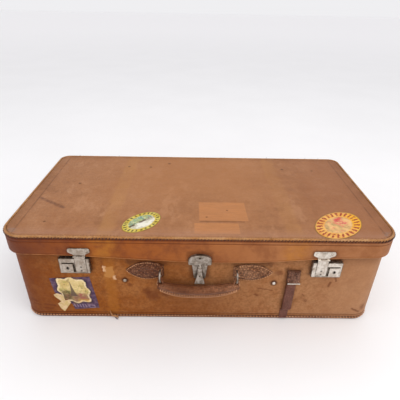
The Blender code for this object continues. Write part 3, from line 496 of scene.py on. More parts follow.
def paper_finish(g, gloss=0.5):
    """Old printed paper: dirty, faintly creased, with rubbed places."""
    dirt = g.ramp(g.noise(90, 6, 0.7), 0.52, 0.72)
    g.tint((128, 92, 56), dirt, 0.45)
    rubbed = g.ramp(g.noise(1.0, 6, 0.75, 0.4, g.place(scale=(70, 240, 240))), 0.60, 0.70)
    g.tint((222, 206, 172), rubbed, 0.4)
    relief = g.bump(g.noise(160, 5, 0.65, 1.0), 0.4 * MM, 0.4)
    return g.finish(gloss, relief, Specular_IOR_Level=0.3)


def oval_paper(name, centre, half, turn, long_rim):
    """An oval travel label: a coloured rim with small leaf marks, and a landscape inside."""
    g = Graph(name)
    cos, sin = math.cos(turn), math.sin(turn)
    dx, dy = g.x - centre[0], g.y - centre[1]
    u = (dx * cos + dy * sin) * (1 / half[0])
    v = (dy * cos - dx * sin) * (1 / half[1])
    far = g.reach(u, v)
    around = g.math("ARCTAN2", v, u)
    jitter = g.noise(260, 4, 0.7) - 0.5
    u = u + jitter * 0.22
    v = v + jitter * 0.3
    if long_rim:
        base = g.mottled((214, 150, 70), (226, 172, 88), 0.4, 0.6, 60, 4)
        gold = g.ramp(v, -0.1, 0.5, 1.0, 0.0) * g.ramp(u, -0.1, 0.5)
        rim = g.mix(gold, base, seen(226, 164, 40))
        mark, count, inner = seen(146, 46, 26), 25, 0.60
        g.colour = g.mottled((222, 176, 116), (186, 150, 98), 0.42, 0.60, 45, 4, 0.6)
        g.tint((214, 116, 92), g.ramp(g.noise(110, 4, 0.7), 0.55, 0.66))
        motif = g.patch(u, v, (0.02, 0.34, -0.28, 0.42), 0.2) * g.ramp(g.noise(150, 4), 0.38, 0.52)
        g.tint((206, 104, 90), motif)
        crown = g.patch(u, v, (0.16, 0.50, 0.20, 0.40), 0.14)
        g.tint((196, 60, 62), crown * 0.8)
    else:
        rim = g.mottled((198, 170, 58), (208, 188, 92), 0.4, 0.6, 60, 4)
        mark, count, inner = seen(74, 70, 22), 23, 0.68
        g.colour = g.mottled((116, 148, 134), (158, 172, 118), 0.42, 0.58, 120, 4, 0.7)
        g.tint((190, 110, 110), g.ramp(g.cells(160), 0.10, 0.26, 0.8, 0.0))
        g.tint((206, 206, 150), g.ramp(g.noise(150, 5, 0.7), 0.50, 0.60, 0.0, 0.8))
        ground = g.mottled((226, 222, 206), (190, 184, 160), 0.4, 0.6, 70, 4)
        g.colour = g.mix(g.ramp(v, -0.02, 0.10), ground, g.colour)
        ridge = g.span(v + u * 0.12, -0.06, 0.14, 0.12) * g.ramp(g.noise(130, 4), 0.4, 0.55)
        g.tint((84, 62, 38), ridge * 0.9)
        strokes = g.noise(1.0, 5, 0.7, 0.5, g.place(scale=(150, 420, 1), turn=0.5))
        g.tint((112, 88, 60), g.ramp(strokes, 0.54, 0.62) * 0.7)
    leaf = g.math("SINE", around * count)
    leaf = g.ramp(leaf + jitter * 7.0, 0.05, 0.45)
    leaf = leaf * g.span(far, inner + 0.07, 0.93, 0.06)
    rim = g.mix(leaf * 0.95, rim, mark)
    g.lay(rim, g.ramp(far + jitter * 0.1, inner - 0.02, inner + 0.02))
    g.tint((120, 92, 40), g.ramp(far, 0.955, 0.985), 0.7)
    return paper_finish(g)


def square_paper():
    """A purple label with a cream cartouche: a tower in a landscape, and hatching below it."""
    g = Graph("square_label_paper")
    jitter = g.noise(190, 4, 0.7) - 0.5
    u = (g.x + 0.194 + (g.z - 0.0258) * 0.127) * (1 / 0.076)
    v = (g.z - 0.0235 - (g.x + 0.194) * -0.06) * (1 / 0.078)
    g.colour = g.mottled((70, 50, 74), (104, 80, 96), 0.4, 0.62, 160, 5, 0.7)
    g.tint((136, 118, 138), g.ramp(g.cells(420), 0.06, 0.16, 0.55, 0.0))
    hatch = g.ramp(g.math("SINE", (u + v * 0.12) * 92), 0.1, 0.8)
    hatch = hatch * g.patch(u, v, (-0.66, -0.27, 0.015, 0.125), 0.03)
    box_out = g.patch(u, v, (-0.255, -0.10, 0.015, 0.115), 0.02)
    box_in = g.patch(u, v, (-0.235, -0.12, 0.035, 0.095), 0.02)
    hatch = g.top(hatch, box_out - box_in)
    g.tint((160, 138, 158), hatch * 0.7)
    purple = g.colour
    p = (u + 0.5) * (1 / 0.415) + jitter * 0.16
    q = (v - 0.565) * (1 / 0.43) + jitter * 0.16
    squared = (abs(p) ** 3.4 + abs(q) ** 3.4) ** (1 / 3.4)
    scallop = g.math("COSINE", g.math("ARCTAN2", q, p) * 8)
    outside = squared - (0.9 + scallop * 0.07)
    g.colour = g.mottled((196, 168, 104), (216, 192, 138), 0.38, 0.6, 60, 5, 0.65)
    g.tint((160, 150, 84), g.ramp(g.noise(85, 5, 0.7), 0.5, 0.62))
    g.tint((128, 104, 72), g.ramp(g.noise(140, 5, 0.75), 0.52, 0.66, 0.0, 0.75))
    ground = g.ramp(v + jitter * 0.25, 0.4, 0.54, 1.0, 0.0)
    land = g.mottled((134, 92, 72), (150, 122, 86), 0.42, 0.6, 90, 4, 0.6)
    g.lay(land, ground)
    green = g.patch(u, v, (-0.86, -0.60, 0.26, 0.56), 0.10)
    broken = g.ramp(g.noise(130, 5, 0.75), 0.38, 0.56, 0.15, 0.9)
    g.tint((86, 78, 46), green * broken)
    house = g.patch(u, v, (-0.40, -0.24, 0.28, 0.50), 0.05)
    g.tint((150, 88, 76), house * broken)
    gold = g.patch(u, v, (-0.46, -0.16, 0.17, 0.29), 0.08) * broken
    g.tint((206, 156, 62), gold)
    axis = abs(u + 0.535 + jitter * 0.03)
    slope = 0.9 - v
    wide = 0.008 + slope * slope * 0.3
    tower = g.ramp(axis - wide, -0.012, 0.012, 1.0, 0.0) * g.span(v, 0.38, 0.84, 0.04)
    g.tint((92, 76, 64), tower * 0.9)
    g.lay(purple, g.ramp(outside, -0.02, 0.02))
    edge = g.span(outside, -0.1, 0.0, 0.05) * g.ramp(g.noise(170, 4, 0.7), 0.34, 0.6, 0.25, 0.85)
    g.tint((232, 208, 168), edge)
    halo = g.span(outside, 0.02, 0.09, 0.05)
    g.tint((44, 34, 44), halo, 0.7)
    return paper_finish(g, 0.6)


def bare_paper():
    g = Graph("bare_paper")
    g.colour = g.mottled((214, 184, 146), (196, 168, 112), 0.38, 0.62, 160, 5, 0.7)
    return paper_finish(g, 0.7)


# ---- Mesh helpers -------------------------------------------------------------------------------
UP, OUT = Vector((0, 0, 1)), Vector((0, -1, 0))     # out of the case's front


def mesh_object(name, verts, faces, material):
    mesh = bpy.data.meshes.new(name)
    mesh.from_pydata([tuple(v) for v in verts], [], faces)
    mesh.validate()
    bm = bmesh.new()
    bm.from_mesh(mesh)
    bmesh.ops.recalc_face_normals(bm, faces=bm.faces)
    bm.to_mesh(mesh)
    bm.free()
    mesh.shade_smooth()
    mesh.materials.append(material)
    obj = bpy.data.objects.new(name, mesh)
    bpy.context.scene.collection.objects.link(obj)
    return obj


def add_piece(piece, body, slot, *nodes):
    """Lets a piece move with a body and hides the CAD nodes that it stands for; slot is not used."""
    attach(piece, body)
    if nodes:
        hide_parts(*nodes)


def wave(point, size, seed=0.0):
    """Smooth noise from -1 to 1 over lengths of about size."""
    return noise.noise(Vector(point) / size + Vector((seed, 2.3 * seed, -seed)))


def plan_ring(half_w, front, back, radii, step=5 * MM, least=4 * MM):
    """A function from an inset to the points of the rounded plan outline at that inset."""
    rf, rb = radii
    arcs = 14

    def corner(cx, cy, sx, sy, radius, start):
        return [("arc", cx, cy, sx, sy, radius, math.radians(start + 90 * i / arcs))
                for i in range(arcs + 1)]

    marks = (corner(half_w, front, -1, 1, rf, -90) + corner(half_w, back, -1, -1, rb, 0)
             + corner(-half_w, back, 1, -1, rb, 90) + corner(-half_w, front, 1, 1, rf, 180))
    chain = []
    for index, mark in enumerate(marks):
        chain.append((index, index, 0.0))
        after = (index + 1) % len(marks)
        if (index + 1) % (arcs + 1) == 0:
            a, b = corner_point(marks[index], 0.0, least), corner_point(marks[after], 0.0, least)
            count = max(1, round(math.dist(a, b) / step))
            chain += [(index, after, i / count) for i in range(1, count)]

    def ring(inset):
        points = []
        for a, b, share in chain:
            pa = corner_point(marks[a], inset, least)
            pb = corner_point(marks[b], inset, least)
            points.append((pa[0] + (pb[0] - pa[0]) * share, pa[1] + (pb[1] - pa[1]) * share))
        return points

    return ring


def corner_point(mark, inset, least):
    _, cx, cy, sx, sy, radius, angle = mark
    r = max(radius - inset, least)
    return (cx + sx * (inset + r) + r * math.cos(angle), cy + sy * (inset + r) + r * math.sin(angle))


def join_rows(faces, rows, count, start=0, closed=False, caps=True):
    """Adds faces between rows of count points, and caps, or joins the last row to the first."""
    for row in range(rows if closed else rows - 1):
        a, b = start + row * count, start + (row + 1) % rows * count
        for i in range(count):
            j = (i + 1) % count
            faces.append((a + i, a + j, b + j, b + i))
    if caps:
        faces.append(tuple(start + i for i in reversed(range(count))))
        faces.append(tuple(start + (rows - 1) * count + i for i in range(count)))


def sweep_shell(name, ring, rows, material, shape=None):
    """A closed skin: rows of (inset, height); a height may be a function of x and y."""
    verts, faces = [], []
    count = len(ring(0.0))
    for inset, height in rows:
        for x, y in ring(inset):
            z = height(x, y) if callable(height) else height
            point = Vector((x, y, z))
            verts.append(shape(point, inset) if shape else point)
    join_rows(faces, len(rows), count, caps=False)
    faces.append(tuple(range(count)))
    last = (len(rows) - 1) * count
    faces.append(tuple(last + i for i in reversed(range(count))))
    return mesh_object(name, verts, faces, material)


def tube(verts, faces, path, radii, sides=6):
    """Adds a closed round tube along a list of points to verts and faces."""
    start = len(verts)
    for index, point in enumerate(path):
        ahead = path[min(index + 1, len(path) - 1)] - path[max(index - 1, 0)]
        ahead.normalize()
        side = ahead.cross(UP)
        side = ahead.cross(Vector((0, 1, 0))) if side.length < 0.2 else side
        side.normalize()
        over = side.cross(ahead)
        radius = radii[index] if isinstance(radii, (list, tuple)) else radii
        for k in range(sides):
            angle = 2 * math.pi * k / sides
            verts.append(point + side * (radius * math.cos(angle))
                         + over * (radius * math.sin(angle)))
    join_rows(faces, len(path), sides, start)


def stitches(name, marks, length, radius, material, lift=0.5):
    """Small threads. A mark is (middle, direction along the thread, direction out of the leather)."""
    verts, faces = [], []
    for index, (middle, along, out) in enumerate(marks):
        along, out = Vector(along).normalized(), Vector(out).normalized()
        vary = 1.0 + 0.18 * math.sin(12.9898 * index)
        half = along * (length * 0.5 * vary)
        path = [Vector(middle) + half * s + out * (radius * (2 * lift * (1 - s * s) - 0.6))
                for s in (-1.0, -0.55, 0.0, 0.55, 1.0)]
        tube(verts, faces, path, [radius * k for k in (0.45, 0.95, 1.0, 0.95, 0.45)], 6)
    return mesh_object(name, verts, faces, material)


# ---- Case shells --------------------------------------------------------------------------------
lid_ring = plan_ring(HALF_W, LID_FRONT, BACK, R_LID)
body_ring = plan_ring(BODY_HALF_W, BODY_FRONT, BACK, R_BODY)


def skirt_low(x, y):
    """Height of the lid's lower edge: level, and hanging in a shallow bow along the front."""
    reach = HALF_W - R_LID[0]
    if y > LID_FRONT + R_LID[0] / 2 or abs(x) > reach:
        return SKIRT_Z
    side = reach + SKIRT_DIP_X if x < SKIRT_DIP_X else reach - SKIRT_DIP_X
    return SKIRT_Z - (SKIRT_Z - SKIRT_DIP_Z) * 0.5 * (1 + math.cos(math.pi * abs(x - SKIRT_DIP_X) / side))


def skirt_at(share):
    """Height at a share of the way from the lid's lower edge to the crease under its top band."""
    return lambda x, y: skirt_low(x, y) + share * (TOP - 13 * MM - skirt_low(x, y))


def lid_top_height(x, y):
    """Gentle hollows and wrinkles of the old lid's top, none near its edges."""
    inset = min(y - LID_FRONT, BACK - y, HALF_W - abs(x))
    calm = max(0.0, min(1.0, (inset - 6 * MM) / (30 * MM)))
    point = (x, y, 0)
    return TOP - 0.45 * MM + calm * (0.7 * MM * wave(point, 0.16) + 0.35 * MM * wave(point, 0.05, 3.0)
                                     - 0.6 * MM)


def lid_shape(point, inset):
    if inset > 6 * MM and point.z > TOP - 1.5 * MM:
        point.z += lid_top_height(point.x, point.y) - (TOP - 0.45 * MM)
    elif inset < 1.2 * MM and point.z < TOP - 8 * MM:
        amount = 0.45 * MM * wave(point, 0.07, 5.0) - 0.25 * MM
        if abs(point.y) > BACK - 2 * MM:
            point.y += math.copysign(amount, point.y)
        elif abs(point.x) > HALF_W - 2 * MM:
            point.x += math.copysign(amount, point.x)
    return point


def below_top(*rows):
    """Rows of (inset, drop below the lid's top), given in millimetres."""
    return [(inset * MM, TOP - drop * MM) for inset, drop in rows]


def make_lid(leather):
    wall, under = 5 * MM, TOP - 4.5 * MM
    inner = [(170 * MM, under), (120 * MM, under), (60 * MM, under), (20 * MM, under),
             (wall + 1.5 * MM, under), (wall, under - 1.5 * MM)]
    inner += [(wall, skirt_at(s)) for s in (0.75, 0.5, 0.25, 0.06)]
    lip = [(wall - 0.8 * MM, skirt_at(0.012)), (wall / 2, skirt_at(0.0)), (1.2 * MM, skirt_at(0.0)),
           (0.3 * MM, skirt_at(0.03)), (0.0, skirt_at(0.07))]
    skirt = [(0.25 * MM, skirt_at(0.10)), (0.35 * MM, skirt_at(0.14)), (0.2 * MM, skirt_at(0.2))]
    skirt += [(0.1 * MM, skirt_at(s)) for s in (0.35, 0.5, 0.65, 0.8, 0.92)]
    crease = below_top((0.3, 12.9), (1.0, 12.4), (0.5, 11.8), (0.05, 11.0), (0.0, 9), (0.0, 7.6))
    groove = below_top((0.4, 6.6), (1.4, 5.4), (1.8, 4.0), (2.0, 2.6))
    top = below_top((4.2, 2.4), (5.0, 2.1), (5.7, 1.1), (7.0, 0.55), (9, 0.45))
    top += below_top(*((inset, 0.45) for inset in (12, 16, 20, 26, 34, 44, 56, 70, 86, 104, 124, 146, 168)))
    rows = inner + lip + skirt + crease + groove + top
    lid = sweep_shell("lid_case_leather", lid_ring, rows, leather, lid_shape)
    add_piece(lid, "lid", "leather_case", "lid_shell", "lid_welt")


def collar_at(share):
    """Height at a share of the way up the body's wall, which is lower along the back."""
    def height(x, y):
        high = COLLAR_TOP if y < BACK_TRIM_Y else SKIRT_Z - 0.5 * MM
        return 16 * MM + share * (high - 16 * MM)
    return height


def body_belly(point):
    """How far the body's walls stand out or in, with a low belly and ripples."""
    belly = math.sin(math.pi * min(1.0, point[2] / SKIRT_Z))
    return 0.4 * MM * wave(point, 0.09, 7.0) * belly - 0.2 * MM


def body_shape(point, inset):
    if inset < 1.2 * MM and point.z > 3 * MM:
        amount = body_belly(point)
        if abs(point.y - BODY_FRONT) < 2 * MM:
            point.y -= amount
        elif abs(point.x) > BODY_HALF_W - 2 * MM:
            point.x += math.copysign(amount, point.x)
    return point


def front_y(x, z):
    """Y of the body's front leather."""
    return BODY_FRONT - body_belly((x, BODY_FRONT, z))


def make_body(leather):
    wall = 4 * MM
    outside = [(inset * MM, height * MM) for inset, height in (
        (170, 0), (90, 0), (30, 0), (8, 0), (4.0, 0), (2.2, 0.4), (1.0, 1.2), (0.3, 2.4), (0.05, 4),
        (0.35, 5.4), (0.55, 6.2), (0.3, 7.2), (0.0, 8.6), (0.05, 11.5), (0.3, 12.4), (1.0, 13.0),
        (0.5, 13.8), (0.1, 15))]
    outside += [(0.05 * MM, collar_at(s)) for s in (0.0, 0.1, 0.2, 0.3, 0.4, 0.5, 0.6, 0.7, 0.8, 0.86,
                                                  0.93, 0.98)]
    rim = [(0.8 * MM, collar_at(1.0)), (wall - 0.8 * MM, collar_at(1.0))]
    inside = [(wall, collar_at(s)) for s in (0.98, 0.8, 0.5, 0.2)]
    inside += [(wall, 5.5 * MM), (wall + 1.5 * MM, 4 * MM), (30 * MM, 4 * MM), (90 * MM, 4 * MM),
               (169 * MM, 4 * MM)]
    body = sweep_shell("body_case_leather", body_ring, outside + rim + inside, leather, body_shape)
    add_piece(body, "case", "leather_case", "body_shell", "bottom_welt")


def even_marks(points, spacing, closed=True):
    """Even places along a line of points: the place, the direction along it and the way out."""
    points = [Vector(p) for p in points]
    if closed:
        points.append(points[0])
    lengths = [0.0]
    for a, b in zip(points, points[1:]):
        lengths.append(lengths[-1] + (b - a).length)
    count = round(lengths[-1] / spacing)
    marks, index = [], 0
    for k in range(count if closed else count + 1):
        target = min(lengths[-1] * k / count, lengths[-1] - 1e-9)
        while lengths[index + 1] < target:
            index += 1
        share = (target - lengths[index]) / max(lengths[index + 1] - lengths[index], 1e-9)
        along = (points[index + 1] - points[index]).normalized()
        marks.append((points[index].lerp(points[index + 1], share), along))
    return marks


def outward(along):
    return Vector((along.y, -along.x, 0))


def ring_marks(ring, inset, spacing):
    points = [(x, y, 0) for x, y in ring(inset)]
    return [(place, along, outward(along)) for place, along in even_marks(points, spacing)]


LACE = 5.8 * MM


def make_lid_binding(leather):
    """The folded band round the lid's top edge, pinched into scallops by its stitches."""
    fine = 6
    base = ring_marks(lid_ring, 0.0, LACE / fine)
    section = ((4.6, -1.9, 0.0), (4.3, -0.7, 0.0), (3.3, 0.05, 0.0), (2.0, 0.1, 0.1), (0.8, -0.5, 0.3),
               (0.1, -1.6, 0.5), (0.0, -2.9, 0.8), (0.25, -4.2, 1.0), (1.1, -5.1, 1.0), (2.2, -4.6, 0.6))
    verts, faces = [], []
    for k, (place, along, out) in enumerate(base):
        pinch = abs(math.sin(math.pi * k / fine)) ** 0.6
        uneven = 0.25 * wave(place, 0.03, 4.0)
        for inset, drop, yielding in section:
            give = yielding * (1 - pinch)
            inwards = inset + 0.75 * give - uneven * yielding
            verts.append(Vector((place.x, place.y, TOP)) - out * (inwards * MM)
                         + Vector((0, 0, (drop + 1.1 * give) * MM)))
    join_rows(faces, len(base), len(section), closed=True, caps=False)
    band = mesh_object("lid_edge_binding", verts, faces, leather)
    add_piece(band, "lid", "leather_edge")


def make_edge_stitches(light, tan, lace):
    """Slanted lacing over the lid's binding, fine threads on its top, a running stitch below."""
    marks = []
    for place, along, out in ring_marks(lid_ring, 0.15 * MM, LACE):
        middle = Vector((place.x, place.y, TOP - 3.9 * MM))
        marks.append((middle, along * 0.6 + UP, out))
    over = stitches("lid_edge_lacing", marks, 4.6 * MM, 1.15 * MM, lace, 0.50)
    marks = []
    for place, along, out in ring_marks(lid_ring, 6.4 * MM, LACE):
        middle = Vector((place.x, place.y, TOP - 0.70 * MM))
        marks.append((middle, out, UP))
    inner = stitches("lid_top_stitches", marks, 2.6 * MM, 0.50 * MM, tan, 0.35)
    for piece in (over, inner):
        add_piece(piece, "lid", "leather_edge")
    marks = []
    for place, along, out in ring_marks(body_ring, 0.2 * MM, 6.0 * MM):
        marks.append((Vector((place.x, place.y, 6.2 * MM)), along, out))
    foot = stitches("body_foot_stitches", marks, 3.2 * MM, 1.15 * MM, light, 0.7)
    add_piece(foot, "case", "leather_edge")


def make_frayed_threads(material):
    """Ends of old sewing thread that stand up along the lid's rear edge and at one corner."""
    verts, faces = [], []
    places = [(x, BACK - 2 * MM) for x in (-0.306, -0.205, -0.121, 0.055, 0.062, 0.118, 0.171, 0.214, 0.252,
                                           0.268, 0.287, 0.303)]
    places += [(-0.3465, -0.120), (-0.347, -0.126), (0.347, 0.085), (-0.344, -0.0850)]
    for index, (x, y) in enumerate(places):
        lean = Vector((0.9 * math.sin(3.7 * index), 0.5 * math.cos(5.1 * index), 1.0)).normalized()
        tall = (2.4 + 1.3 * math.sin(2.3 * index)) * MM
        start = Vector((x, y, TOP - 0.6 * MM))
        bend = Vector((math.cos(4.0 * index), math.sin(4.0 * index), 0)) * (0.9 * MM)
        path = [start + lean * (tall * t) + bend * (t * t) for t in (0.0, 0.35, 0.7, 1.0)]
        tube(verts, faces, path, [0.50 * MM, 0.45 * MM, 0.35 * MM, 0.2 * MM], 5)
    frayed = mesh_object("frayed_threads", verts, faces, material)
    add_piece(frayed, "lid", "leather_edge")


# ---- Leather reliefs and paper ------------------------------------------------------------------
def relief(name, rows, columns, place, material):
    """A closed piece from a grid: place(u, v, face) with u, v in 0..1; face 1 in front, 0 behind."""
    verts, faces = [], []
    for face in (1, 0):
        for i in range(rows + 1):
            for j in range(columns + 1):
                verts.append(place(i / rows, j / columns, face))
    wide, back = columns + 1, (rows + 1) * (columns + 1)
    for i in range(rows):
        for j in range(columns):
            a = i * wide + j
            faces.append((a, a + 1, a + wide + 1, a + wide))
            faces.append((back + a, back + a + wide, back + a + wide + 1, back + a + 1))
    rim = ([(0, j) for j in range(columns)] + [(i, columns) for i in range(rows)]
           + [(rows, j) for j in range(columns, 0, -1)] + [(i, 0) for i in range(rows, 0, -1)])
    for (i, j), (k, m) in zip(rim, rim[1:] + rim[:1]):
        a, b = i * wide + j, k * wide + m
        faces.append((a, b, back + b, back + a))
    return mesh_object(name, verts, faces, material)


def swell(value, start, stop):
    t = max(0.0, min(1.0, (value - start) / (stop - start)))
    return t * t * (3 - 2 * t)


def pebbles(point, size, height):
    """Rounded lumps of grained leather."""
    gap = noise.voronoi(Vector(point) / size)[0]
    return height * (1.0 - min(1.0, gap[0] / 0.62) ** 1.5)


CHAPE_KNOB = 3.6 * MM


def make_chape(side, tag, leather, thread):
    """A padded leaf of pebbled leather with a sewn rim, folded round its ring at the inner end."""
    low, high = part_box(f"handle_chape_{tag}")
    ring_x = middle_of(f"handle_ring_{tag}")[0]
    tip = low[0] if side < 0 else high[0]
    inner = high[0] if side < 0 else low[0]
    middle, tall = (low[2] + high[2]) / 2, (high[2] - low[2]) / 2
    length = abs(inner - tip)

    def half(s):
        return tall * math.sin(0.784 * math.pi * max(s, 0.004) ** 0.8)

    def place(u, v, face):
        s, t = u, 2 * v - 1
        x = tip - side * length * s
        z = middle + half(s) * t
        if not face:
            return Vector((x, BODY_FRONT - 0.2 * MM, z))
        rim = min(half(s) * (1 - abs(t)), length * s * 0.8)
        lift = 1.9 * MM + 4.6 * MM * swell(rim, 2.6 * MM, 9.5 * MM)
        lift -= 0.5 * MM * math.exp(-((rim - 3.0 * MM) / (0.8 * MM)) ** 2)
        fold = math.exp(-((x - ring_x) / (3.6 * MM)) ** 2)
        lift = max(lift, 7.6 * MM * fold * (1 - 0.15 * t * t))
        lift *= 1.0 - 0.75 * swell(abs(x - tip), length - 2.2 * MM, length)
        lift *= 0.35 + 0.65 * swell(rim, -0.2 * MM, 1.1 * MM)
        grained = swell(rim, 0.8 * MM, 3.0 * MM)
        lift += grained * (pebbles((x, 0, z), CHAPE_KNOB, 0.7 * MM) + 0.3 * MM * wave((x, 0, z), 0.012, 2.0))
        return Vector((x, BODY_FRONT - lift, z))

    chape = relief(f"chape_leather_{tag}", 110, 64, place, leather)
    add_piece(chape, "case", "leather_handle", f"handle_chape_{tag}")
    outline = []
    for edge in (1, -1):
        steps = [0.04 + 0.86 * i / 40 for i in range(41)]
        line = [(tip - side * length * s, 0, middle + edge * (half(s) - 1.9 * MM)) for s in steps
                if half(s) > 3.2 * MM]
        outline.append(line)
    marks = []
    for line in outline:
        for place_at, along in even_marks(line, 4.4 * MM, closed=False):
            marks.append((Vector((place_at.x, BODY_FRONT - 2.0 * MM, place_at.z)), along, OUT))
    sewn = stitches(f"chape_stitches_{tag}", marks, 2.6 * MM, 0.75 * MM, thread, 0.8)
    add_piece(sewn, "case", "leather_handle")


def grip_line():
    """The grip's run: for u from -1 to 1, its middle and how full its section is."""
    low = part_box("handle_grip")[0]
    xs = [middle_of(f"handle_ring_{tag}")[0] for tag in ("left", "right")]
    _, ring_y, ring_z = middle_of("handle_ring_left")
    mid_x, half = sum(xs) / 2, (xs[1] - xs[0]) / 2 + 5.5 * MM
    end_z, low_u = ring_z - 22.2 * MM, -0.06
    mid_z = low[2] + 12.4 * MM

    def at(u):
        away = (u - low_u) / (1 - low_u if u > low_u else 1 + low_u)
        z = mid_z + (end_z - mid_z) * abs(away) ** 2.2
        return Vector((mid_x + half * u, ring_y - 0.3 * MM, z)), 1.0 - 0.36 * away ** 4

    return at, xs, ring_y, ring_z


def make_grip(leather, thread):
    """A rolled leather grip with a sewn flange under it, and end loops round the rings."""
    at, xs, ring_y, ring_z = grip_line()
    section = []
    for i in range(17):
        angle = math.radians(-52 + 284 * i / 16)
        section.append((8.4 * math.cos(angle), 3.4 + 8.6 * math.sin(angle)))
    flange = [(-3.4, -5.6), (-3.2, -7.6), (-3.3, -9.8), (-3.6, -11.2), (-3.0, -12.3), (-0.5, -12.0),
              (0.5, -12.0), (3.0, -12.3), (3.6, -11.2), (3.3, -9.8), (3.2, -7.6), (3.4, -5.6)]
    section += flange
    rows = 120
    verts, faces = [], []
    for k in range(rows + 1):
        u = -1 + 2 * k / rows
        middle, full = at(u)
        close = swell(1 - abs(u), 0.0, 0.035)
        full *= 0.45 + 0.55 * close
        for out, up in section:
            point = middle + Vector((0, -out * full * MM, up * full * MM))
            if up > -5:
                point += Vector((0, -out, up - 3.4)).normalized() * pebbles(point, 3.2 * MM, 0.35 * MM)
                point.z += 0.4 * MM * wave(point, 0.014, 6.0)
            verts.append(point)
    join_rows(faces, rows + 1, len(section))
    for side, ring_x in ((-1, xs[0]), (1, xs[1])):
        add_loop(verts, faces, side, ring_x, ring_y, ring_z)
    grip = mesh_object("grip_leather", verts, faces, leather)
    add_piece(grip, "handle", "leather_handle", "handle_grip")

    marks = []
    for face in (1, -1):
        run = []
        for k in range(101):
            middle, full = at(-0.93 + 1.86 * k / 100)
            run.append(middle + Vector((0, -face * 3.5 * full * MM, -7.9 * full * MM)))
        for place, along in even_marks(run, 4.6 * MM, closed=False):
            marks.append((place, Vector((along.x * 0.25, 0, 1)), Vector((0, -face, 0))))
    for side, ring_x in ((-1, xs[0]), (1, xs[1])):
        for i in range(4):
            place = Vector((ring_x + side * 5.2 * MM, ring_y - 4.2 * MM + i * 2.8 * MM, ring_z - 15 * MM))
            marks.append((place, Vector((0, 1, 0)), Vector((side, 0, 0))))
    # A pale tube along the flange's lower edge is a painted highlight, where light catches that edge.
    edge = []
    for k in range(61):
        middle, full = at(-0.95 + 1.9 * k / 60)
        edge.append(middle + Vector((0, -2.4 * full * MM, -12.2 * full * MM)))
    verts, faces = [], []
    tube(verts, faces, edge, 1.0 * MM, 6)
    edge_highlight_tube = mesh_object("grip_edge_highlight", verts, faces, thread)
    add_piece(edge_highlight_tube, "handle", "leather_handle")
    sewn = stitches("grip_stitches", marks, 4.4 * MM, 0.95 * MM, thread, 0.6)
    add_piece(sewn, "handle", "leather_handle")


def add_loop(verts, faces, side, ring_x, ring_y, ring_z):
    """A leather strip over the ring's lowest part, bent so that it follows the ring."""
    radius, wire_z, thick = 3.55 * MM, ring_z - 10.5 * MM, 1.2 * MM
    path = [(ring_x + 5.0 * MM, wire_z - 17 * MM, Vector((1, 0, 0)))]
    path.append((ring_x + 4.3 * MM, wire_z - 6 * MM, Vector((1, 0, 0))))
    for i in range(9):
        angle = math.radians(180 * i / 8)
        out = Vector((math.cos(angle), 0, math.sin(angle)))
        path.append((ring_x + radius * out.x, wire_z + radius * out.z, out))
    path.append((ring_x - 4.3 * MM, wire_z - 6 * MM, Vector((-1, 0, 0))))
    path.append((ring_x - 5.0 * MM, wire_z - 17 * MM, Vector((-1, 0, 0))))
    across = (-5.0, -3.4, -1.2, 1.2, 3.4, 5.0)
    corners = [(a, thick if abs(a) < 4.5 else thick * 0.5) for a in across]
    corners += [(a, -h) for a, h in reversed(corners)]
    start = len(verts)
    for x, z, out in path:
        for a, lift in corners:
            follow = 10.5 * MM - math.sqrt((10.5 * MM) ** 2 - (a * MM) ** 2)
            verts.append(Vector((x, ring_y + a * MM, z + follow)) + out * lift)
    join_rows(faces, len(path), len(corners), start)


def make_strap_piece(name, node, material, dome, lumps, taper=0.0):
    """A flat leather strip over a front node, with rounded edges, a low dome and some grain."""
    low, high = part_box(node)
    wide, tall, proud = high[0] - low[0], high[2] - low[2], high[1] - low[1]

    def place(u, v, face):
        x, z = low[0] + wide * v, low[2] + tall * u
        x += taper * (u - 0.5) + 0.25 * MM * wave((0, 0, z), 0.02, 9.0 + v)
        if not face:
            return Vector((x, high[1], z))
        rim = min(wide * min(v, 1 - v), tall * min(u, 1 - u))
        lift = proud * (0.45 + 0.55 * swell(rim, 0.0, 1.1 * MM))
        lift += dome * math.sin(math.pi * v) + 0.35 * MM * wave((x, 0, z), 0.02, 1.0)
        lift += swell(rim, 0.3 * MM, 1.6 * MM) * pebbles((x, 0, z), 2.1 * MM, lumps)
        return Vector((x, high[1] - lift, z))

    piece = relief(name, 70, 30, place, material)
    add_piece(piece, "case", "leather_strap", node)
    return low, high


def make_strap(leather, pebbled, thread):
    low, high = make_strap_piece("tab_leather", "strap_tab", pebbled, 0.5 * MM, 0.8 * MM, -1.0 * MM)
    make_strap_piece("strap_leather", "strap", leather, 0.3 * MM, 0.10 * MM, 1.0 * MM)
    make_strap_piece("foot_leather", "strap_foot", leather, 0.2 * MM, 0.15 * MM)
    marks = []
    for x in (low[0] + 2.6 * MM, high[0] - 2.6 * MM, (low[0] + high[0]) / 2):
        for i in range(8):
            place = Vector((x, low[1] + 0.1 * MM, low[2] + 3 * MM + i * 3.2 * MM))
            marks.append((place, Vector((0.15, 0, 1)), OUT))
    sewn = stitches("tab_stitches", marks, 2.0 * MM, 0.42 * MM, thread, 0.7)
    add_piece(sewn, "case", "leather_strap")


